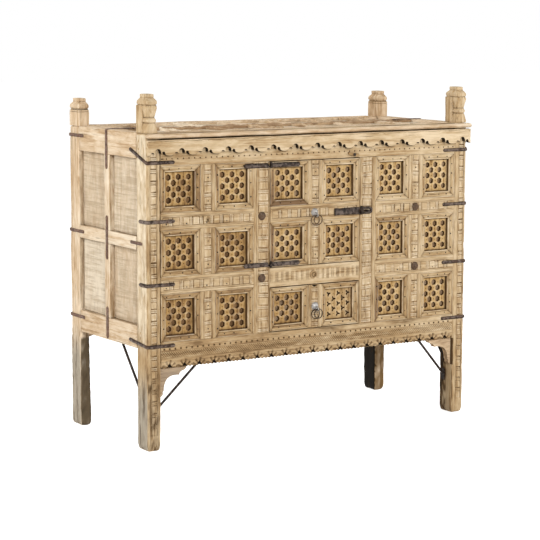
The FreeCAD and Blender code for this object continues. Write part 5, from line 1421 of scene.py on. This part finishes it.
def faded_front(points, normal):
    """The boards that show through the plates were bleached with them, least in the left bay."""
    share = np.where(points[:, 0] < STILES["left"][0], 0.25, 1.0)
    return share * (0.28 + 0.12 * ripple(points, 34, 3)) * (normal[:, 1] < -0.9)


def inner_boards(node, along, blocks, seed, body="carcass", **wear):
    boards(node, "inner", INSIDE, along, blocks, seed, body, "inner_wood", **wear)


def behind(low_x, low_z, high_x, high_z, back=BACK_RAIL_FRONT):
    """A block that starts at the back of the front frame."""
    return (low_x, FRAME_BACK, low_z), (high_x, back, high_z)


def lining(low_x, low_z, high_x, high_z):
    """A board right behind the pierced plates."""
    return (low_x, LATTICE_BACK, low_z), (high_x, FRAME_BACK, high_z)


inner_boards("bay_backing_boards", 2,
             [lining(low_x, APRON_TOP, high_x, PANEL_TOP) for low_x, high_x in BAYS.values()], 311,
             bleach=faded_front)
width = depth_inside / 4
inner_boards("floor_boards", 0, [((-INNER, FRAME_BACK + n * width, FLOOR_LOW),
                                  (INNER, FRAME_BACK + (n + 1) * width, FLOOR_TOP)) for n in range(4)], 321)
inner_boards("floor_bearers", 0, [((-INNER, y, BEARER_LOW), (INNER, y + BEARER, FLOOR_LOW))
                                  for y in (FRAME_BACK, BACK_RAIL_FRONT - BEARER)], 331)
left, right = STILES["left"][1], STILES["right"][0]
inner_boards("drawer_case", 1, [behind(left - THIN, FLOOR_TOP, left, CASE_TOP),
                                behind(right, FLOOR_TOP, right + THIN, CASE_TOP),
                                behind(left - THIN, CASE_TOP, right + THIN, CASE_TOP + DUST_BOARD),
                                behind(left, FLOOR_TOP, left + RUNNER, RUNNER_TOP),
                                behind(right - RUNNER, FLOOR_TOP, right, RUNNER_TOP)], 341)
left, right, bottom, top = DOOR
width = (right - left) / 3
inner_boards("door_planks", 2,
             [lining(left + n * width, bottom, left + (n + 1) * width, top) for n in range(3)], 351, "door",
             bleach=faded_front)
left, right, bottom, top = DRAWER
inner_boards("drawer_front_board", 0, [lining(left, bottom, right, top)], 361, "drawer", bleach=faded_front)
inner_boards("drawer_sides_and_back", (1, 1, 0),
             [behind(left, bottom, left + THIN, DRAWER_SIDE_TOP, DRAWER_BACK),
              behind(right - THIN, bottom, right, DRAWER_SIDE_TOP, DRAWER_BACK),
              ((left + THIN, DRAWER_BACK - THIN, bottom), (right - THIN, DRAWER_BACK, DRAWER_SIDE_TOP))],
             371, "drawer")
inner_boards("drawer_bottom", 0, [behind(left + THIN, bottom, right - THIN, bottom + 9, DRAWER_BACK - THIN)],
             381, "drawer")

# %% [markdown]
# ## Brackets, rosette and turn button
# Small carved woods: two cusped brackets in the angle of apron and post, a round rosette, and the
# little bar on a nail that keeps the door shut. Brackets and button are flat boards with a drawn
# outline of shallow bows.

# %% Outlines
def sawn_outline(piece, outline, low_y, high_y, seed, tint, grey, stain):
    """A flat board with a drawn outline, its arrises slightly rubbed."""
    count = len(outline)
    toward = outline - outline.mean(axis=0)
    inset = outline - toward / np.linalg.norm(toward, axis=1, keepdims=True) * 1.4
    rings = [(inset, low_y, -0.5), (outline, low_y + 1.4, -0.4),
             (outline, high_y - 1.0, 0.1), (inset, high_y, 0.2)]
    points = [np.column_stack([ring[:, 0], np.full(count, y), ring[:, 1]]) for ring, y, _ in rings]
    points = np.concatenate(points)
    points[:, 1] += 0.4 * ripple(points, 24, seed)
    dirt_and_shade = np.repeat([rub for _, _, rub in rings], count) + stain(points)
    piece.add(points, skin(4, count), points * MM + chance(seed).uniform(-4, 4, 3), dirt_and_shade, tint, grey)


def arc(start, stop, bulge, steps=9):
    """Points of a bow between two points, set off sideways by bulge at its middle."""
    start, stop = np.array(start, float), np.array(stop, float)
    share = np.linspace(0, 1, steps)[1:]
    chord = stop - start
    side = np.array([-chord[1], chord[0]]) / np.linalg.norm(chord)
    return start + share[:, None] * chord + side * (4 * bulge * share * (1 - share))[:, None]


print("outline maker ready")

# %% [markdown]
# The bracket is drawn once, from its corner, and mirrored for the other side; a mirrored outline runs
# the other way round, so one of the two is reversed.

# %% Small carved woods
BUTTON_X, BUTTON_Z, BUTTON_TILT = 168.0, 1009.0, math.radians(-12)


def darker_right_half(points):
    """Darker on the right half of the bar."""
    return np.where(points[:, 0] > 170, 0.9, 0.45)


brackets = Piece()
bracket = np.concatenate([[(0, 0), (106, 0)], arc((106, 0), (92, -12), 3), arc((92, -12), (76, -27), -3),
                          arc((76, -27), (13, -80), -24, 21), arc((13, -80), (10, -89), -2),
                          arc((10, -89), (0, -100), 3)])
# The left bracket is darkened with painted shade.
for side, grey, dirt_and_shade in ((-1, 0.4, 0.55), (1, 0.1, 0.15)):
    outline = bracket * np.array([-side, 1]) + np.array([side * INNER, APRON_BOTTOM])
    sawn_outline(brackets, outline[::side], FRONT + 9, FRONT + 31, 391 + side, 0.7, grey,
                 lambda points: np.full(len(points), dirt_and_shade))
brackets.dress("corner_brackets", "cusped", finish=PLAIN, sharp=40)

rosette = Piece()
turned(rosette, (-2.5, FRONT, 580),
       round_rings((-1, 15, 0.6), (1.5, 15, 0.2), (3.5, 14, -0.2), (4.4, 11.5, 0.3, 0.06),
                   (3.2, 8, 0.7, 0.12), (3.6, 6, 0.8), (5.0, 5, 0.2), (5.0, 1, 0.4)),
       401, "front", 32, 8, 0.5)
rosette.dress("centre_rosette", "carved")

button = Piece()
cosine, sine = math.cos(BUTTON_TILT), math.sin(BUTTON_TILT)
bar = np.concatenate([arc((18.5, -6.5), (18.5, 6.5), -6.0), arc((-18.5, 6.5), (-18.5, -6.5), -6.0),
                      [(18.5, -6.5)]])
bar = bar @ np.array([(cosine, -sine), (sine, cosine)]).T + np.array([BUTTON_X, BUTTON_Z])
sawn_outline(button, bar, FRONT - 8.4, FRONT - 0.4, 411, 0.9, 0.0, darker_right_half)
button.dress("turn_button", "wear_and_light_amount", "turn_button", finish=MOULDED, sharp=40)

# %% [markdown]
# ## Straps, hinges and hasp
# Every iron is a flat or half-round bar that follows the wood: a path with a surface normal at each
# point is enough. The section narrows to a blunt tip at both ends and the hammer leaves its ripple.

# %% The bar maker
TO_FRONT, UP = (0, -1, 0), (0, 0, 1)


def forged_bar(piece, path, width, rise, seed, square=1.0, beads=0.0, tip=0.55, rub=0.0):
    """Sweeps a half-round section along (point, normal) pairs that lie on the wood."""
    marks = np.array([point for point, _ in path], float)
    normals = np.array([normal for _, normal in path], float)
    lengths = np.concatenate([[0], np.cumsum(np.linalg.norm(np.diff(marks, axis=0), axis=1))])
    near_ends = lengths[-1] * np.array([0.004, 0.012, 0.988, 0.996])
    along = np.unique(np.concatenate([spaced(0, lengths[-1], 3.0), near_ends]))
    line = np.stack([np.interp(along, lengths, marks[:, axis]) for axis in range(3)], axis=1)
    normal = np.stack([np.interp(along, lengths, normals[:, axis]) for axis in range(3)], axis=1)
    normal /= np.linalg.norm(normal, axis=1, keepdims=True)
    tangent = np.gradient(line, axis=0)
    tangent /= np.linalg.norm(tangent, axis=1, keepdims=True)
    side = np.cross(tangent, normal)
    from_end = np.minimum(along, lengths[-1] - along) / (width * tip)
    narrow = np.sqrt(np.clip(1 - (1 - np.clip(from_end, 0, 1)) ** 2, 0.01, 1))
    narrow *= 1 + 0.06 * ripple(line, 40, seed)
    angle = np.linspace(0, math.pi, 11)
    across = np.cos(angle)[None, :] * (width / 2 * narrow)[:, None]
    hammered = 1 + 0.14 * ripple(line, 17, seed + 1)
    swell = rise * (0.85 + 0.15 * narrow) * hammered * (1 + beads * np.cos(along * 0.62))
    height = np.sin(angle)[None, :] ** square * swell[:, None] * np.sqrt(narrow)[:, None]
    points = line[:, None, :] + side[:, None, :] * across[:, :, None]
    points = (points + normal[:, None, :] * height[:, :, None]).reshape(-1, 3)
    # A painted highlight along a line just off the crest of the section, with some rubbing, goes into the
    # notes.
    bare = 0.75 + 0.35 * ripple(line, 31, seed + 2)
    wear_and_light_amount = np.clip(np.cos(angle - 1.3), 0, 1)[None, :] ** 6 * bare[:, None]
    piece.add(points, skin(len(along), len(angle)), points * MM, -wear_and_light_amount.ravel() - rub)


def iron(piece, node, body="carcass", finish=IRON):
    piece.dress(node, "forged", body, "forged_iron", finish)


print("bar maker ready")

# %% [markdown]
# Straps tie the front and back to the sides round the posts' corners. On each side wall there are
# four more; the upper one is bent over the edge of the top.

# %% Corner and side straps
FRONT_STRAPS = ((1009, 122, 44, 0.0, 0.0), (805, 55, 0, 0.16, 0.5), (585, 55, 0, 0.1, 0.0),
                (371, 130, 13, 0.0, 0.0))
BACK_STRAPS = (1076, 727, 413)
SIDE_BARS = (((12, 646), (12, 804), 16, 465, 0.4), ((12, 361), (12, 477), 16, 469, 0.4),
             ((FRONT + 33, 728), (FRONT + 119, 728), 11, 473, 0.5))


def round_corner(side, face, inward, level, run, rise, bend, cut, reach):
    """A path from the side wall round a post's corner onto the front or the back."""
    out, ahead = (side, 0, 0), (0, -inward, 0)
    return [((side * HALF, face + inward * run, level + rise), out),
            ((side * HALF, face + inward * bend, level + rise * bend / run), out),
            ((side * (HALF - cut), face + inward * cut, level), (side * 0.7, -0.7 * inward, 0)),
            ((side * (HALF - bend), face, level), ahead), ((side * (HALF - reach), face, level), ahead)]


corner_straps, back_straps, side_straps = Piece(), Piece(), Piece()
for side in (-1, 1):
    out, edge = (side, 0, 0), side * HALF
    for number, (level, run, rise, beads, rub) in enumerate(FRONT_STRAPS):
        path = round_corner(side, FRONT, 1, level, run, rise, 7, 1.5, 110)
        forged_bar(corner_straps, path, 13.0, 4.8, 421 + number + 10 * side, beads=beads,
                   rub=rub if side < 0 else 0.0)
    for number, level in enumerate(BACK_STRAPS):
        path = round_corner(side, BACK, -1, level, 118, 0, 8, 2, 88)
        forged_bar(back_straps, path, 11.5, 2.8, 441 + number + 10 * side, 0.5)
    over = [((edge, 12, 969), out), ((edge, 12, TOP - 4), out),
            ((edge - side, 12, TOP - 1), (side * 0.7, 0, 0.7)),
            ((edge - 4 * side, 12, TOP), UP), ((edge - 134 * side, 12, TOP), UP)]
    forged_bar(side_straps, over, 16, 2.6, 461 + side, 0.4)
    for (low_y, low_z), (high_y, high_z), width, seed, square in SIDE_BARS:
        path = [((edge, low_y, low_z), out), ((edge, high_y, high_z), out)]
        forged_bar(side_straps, path, width, 2.6, seed + side, square)
iron(corner_straps, "front_corner_straps", finish=STRAP_IRON)
iron(back_straps, "back_corner_straps", finish=RUSTED_IRON)
iron(side_straps, "side_straps", finish=RUSTED_IRON)

# %% [markdown]
# A hinge has a leaf on the stile and one on the door, each with half of the knuckle and a short tongue
# that lifts off the wood to reach it. The hasp is a third hinge: a strap on the door and a looped leaf
# that drops over the staple.

# %% Hinges and hasp
HINGE_X, HINGE_LEVELS = -187.75, (628.5, 983.5)
HASP_X, HASP_Z, LOOP = 203.0, 802.0, 9.3


def flat_bar(piece, start, stop, width, rise, seed, *section, lifts=(0, 0), rub=0.0):
    """A straight bar between two (x, z) places on the front, each end lifted off the wood."""
    path = [((x, FRONT - lift, z), TO_FRONT) for (x, z), lift in zip((start, stop), lifts)]
    forged_bar(piece, path, width, rise, seed, *section, rub=rub)


def knuckle(piece, x, low_z, high_z, seed):
    tall = high_z - low_z
    rings = round_rings((0, 5), (0.8, 6), (tall - 0.8, 6), (tall, 5))
    turned(piece, (x, FRONT - 6.3, low_z), rings, seed, count=24, rough=0.25)


stile_leaves, door_leaves = Piece(), Piece()
for number, level in enumerate(HINGE_LEVELS):
    rub = 0.45 - 0.45 * number
    low, high = level - 4.6, level + 4.6
    flat_bar(stile_leaves, (-297.5, level), (-194.4, level), 17, 4.6, 481 + number, 0.8, 0.05, rub=rub)
    flat_bar(door_leaves, (-181.1, level), (-62, level), 17, 4.6, 485 + number, 0.8, 0.05, rub=rub)
    knuckle(stile_leaves, HINGE_X, level - 9, level - 0.2, 489 + number)
    knuckle(door_leaves, HINGE_X, level + 0.2, level + 9, 493 + number)
    flat_bar(stile_leaves, (-204, low), (-189, low), 8, 3.2, 497, 0.6, lifts=(0, 3))
    flat_bar(door_leaves, (-186.5, high), (-172, high), 8, 3.2, 499, 0.6, lifts=(3, 0))
iron(stile_leaves, "hinge_stile_leaves")
iron(door_leaves, "hinge_door_leaves", "door")

hasp_strap, hasp_leaf = Piece(), Piece()
flat_bar(hasp_strap, (86.5, HASP_Z), (196.5, HASP_Z), 27, 6.2, 511, 0.7, 0.04, 0.12)
for z, seed in ((811.5, 513), (792.5, 515)):
    flat_bar(hasp_strap, (HASP_X - 14, z), (HASP_X - 1, z), 8.6, 3.0, seed, 0.6, lifts=(0, 4))
knuckle(hasp_strap, HASP_X, 788.2, 797.0, 517)
knuckle(hasp_strap, HASP_X, 807.0, 815.8, 519)
nail(hasp_strap, 143, FRONT - 6, HASP_Z, 4.5, 521)
swing = np.linspace(math.pi / 2, -math.pi / 2, 13)
bow = [(241 + LOOP * math.cos(angle), HASP_Z + LOOP * math.sin(angle)) for angle in swing]
bow = [(210.5, HASP_Z + LOOP)] + bow + [(210.5, HASP_Z - LOOP)]
forged_bar(hasp_leaf, [((x, FRONT, z), TO_FRONT) for x, z in bow], 9.3, 5.6, 523, 0.7, 0.05)
flat_bar(hasp_leaf, (213, HASP_Z + 12), (213, HASP_Z - 12), 6.8, 4.6, 525, 0.6)
flat_bar(hasp_leaf, (HASP_X + 1, HASP_Z), (214, HASP_Z), 8.6, 3.0, 527, 0.6, lifts=(4, 0))
knuckle(hasp_leaf, HASP_X, 797.3, 806.7, 529)
iron(hasp_strap, "hasp_strap", "door")
iron(hasp_leaf, "hasp_leaf", "hasp")

# %% [markdown]
# Four hammered dome studs sit on the stile and on the right bay's rails. Rods, pins, rings and bosses
# are right as they were drawn, so the solids stay and only get an iron finish.

# %% Studs and bare irons
STUD_PLACES = ((-222, 803.75), (-222, 581.25), (451, 803.75), (451, 581.25))
STUD_RINGS = round_rings((-1, 15), (1.0, 15.5, 0, 0.03), (3.5, 13.2, 0, 0.05), (5.6, 9.5, 0, 0.05),
                         (6.4, 5.2), (7.6, 4.6), (8.4, 2.6))
BARE_IRONS = {IRON: ("brace_rods", "hinge_pins", "hasp_pin", "hasp_staple", "turn_button_nail",
                     "drawer_pull_front_ring", "drawer_pull_back_ring"),
              STUD_IRON: ("door_pull_front_ring", "door_pull_back_ring"),
              RUBBED_IRON: ("door_pull_boss", "drawer_pull_boss")}

studs = Piece()
for x, z in STUD_PLACES:
    turned(studs, (x, FRONT, z), STUD_RINGS, int(x + z), "front", 32, 6, rough=0.5)
studs.dress("dome_studs", "hammered", slot="worn_iron", finish=STUD_IRON)

for finish, names in BARE_IRONS.items():
    for name in names:
        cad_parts[name].data.materials.clear()
        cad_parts[name].data.materials.append(finish)
    print(f"{finish.name} on {len(names)} solids")

# %% [markdown]
# ## Floor and sky
# The cabinet stands in a plain studio. Floor and sky are bright white only where they are seen,
# straight or in a sheen. The light that they throw on the wood is weaker, so the lamps model the carving.

# %% Stage
scene = bpy.context.scene
floor_mesh = bpy.data.meshes.new("studio_floor")
floor_mesh.from_pydata([(-30, -30, 0), (30, -30, 0), (30, 30, 0), (-30, 30, 0)], [], [(0, 1, 2, 3)])
floor = bpy.data.objects.new("studio_floor", floor_mesh)
scene.collection.objects.link(floor)


def shows_backdrop(wires):
    """1 for rays that end in a picture of the backdrop: in the camera, in metal or through glass."""
    node = wires.make("ShaderNodeLightPath", {}, {}).socket.node
    rays = [Wire(wires.tree, node.outputs[f"Is {kind} Ray"]) for kind in ("Camera", "Glossy", "Transmission")]
    return wires.sum("MAXIMUM", wires.sum("MAXIMUM", rays[0], rays[1]), rays[2])


paper, wires = new_material("white_paper")
seen = shows_backdrop(wires)
diffuse = wires.make("ShaderNodeBsdfDiffuse", {}, {"Color": colour(0.9, 0.9, 0.9)})
glow = wires.make("ShaderNodeEmission", {}, {"Color": colour(1, 1, 1), "Strength": 0.8})
both = wires.make("ShaderNodeAddShader", {}, {0: diffuse, 1: glow})
mix = wires.make("ShaderNodeMixShader", {}, {0: seen, 1: diffuse, 2: both})
wires.make("ShaderNodeOutputMaterial", {}, {"Surface": mix})
floor_mesh.materials.append(paper)

world = bpy.data.worlds.new("studio_sky")
scene.world = world
world.use_nodes = True
world.node_tree.nodes.clear()
sky = Wire(world.node_tree)
seen = shows_backdrop(sky)
soft = sky.make("ShaderNodeBackground", {}, {"Color": colour(1.0, 0.985, 0.96), "Strength": 0.28})
white = sky.make("ShaderNodeBackground", {}, {"Color": colour(1, 1, 1), "Strength": 1.0})
mix = sky.make("ShaderNodeMixShader", {}, {0: seen, 1: soft, 2: white})
sky.make("ShaderNodeOutputWorld", {}, {"Surface": mix})
print(f"{floor.name} and {world.name}")

# %% [markdown]
# ## Light and camera
# A strong soft lamp stands far off at the front left, and three weaker ones lift the side, the right
# and the top. The camera has a long lens and stands low.

# %% Lamps and camera
TARGET = Vector((-0.002, 0.012, 0.562))
AZIMUTH, ELEVATION, DISTANCE = math.radians(-32.15), math.radians(7.57), 7.480
SENSOR, LENS_IN_PIXELS, PICTURE_IN_PIXELS = 36.0, 1996, 540
CAMERA_ROLL = math.radians(0.20)


def area_lamp(name, place, aim, size, power):
    lamp = bpy.data.lights.new(name, "AREA")
    lamp.size = size
    lamp.energy = power
    holder = bpy.data.objects.new(name, lamp)
    holder.location = place
    holder.rotation_euler = (Vector(aim) - Vector(place)).to_track_quat("-Z", "Y").to_euler()
    scene.collection.objects.link(holder)


area_lamp("key_softbox", (-5.0, -12.5, 5.0), (0, -0.2, 0.6), 2.0, 1060)
area_lamp("side_softbox", (-4.6, 0.6, 2.6), (-0.6, 0, 0.6), 1.8, 126)
area_lamp("fill_softbox", (3.6, -4.2, 2.2), (0.2, 0, 0.7), 2.6, 126)
area_lamp("top_softbox", (0.3, 1.3, 4.2), (0, 0.1, 1.1), 1.6, 38)

flat = math.cos(ELEVATION)
back = Vector((math.sin(AZIMUTH) * flat, -math.cos(AZIMUTH) * flat, math.sin(ELEVATION)))
lens = bpy.data.cameras.new("camera")
lens.sensor_width = SENSOR
lens.lens = SENSOR * LENS_IN_PIXELS / PICTURE_IN_PIXELS
camera = bpy.data.objects.new("camera", lens)
camera.location = TARGET + back * DISTANCE
camera.rotation_euler = (-back).to_track_quat("-Z", "Y").to_euler()
camera.rotation_euler.rotate_axis("Z", CAMERA_ROLL)
scene.collection.objects.link(camera)
scene.camera = camera
scene.view_settings.view_transform = "Standard"
print("camera at", [round(value, 3) for value in camera.location])

# %% [markdown]
# ## Finish
# The scene is brought up to date.

# %% Finish
bpy.context.view_layer.update()
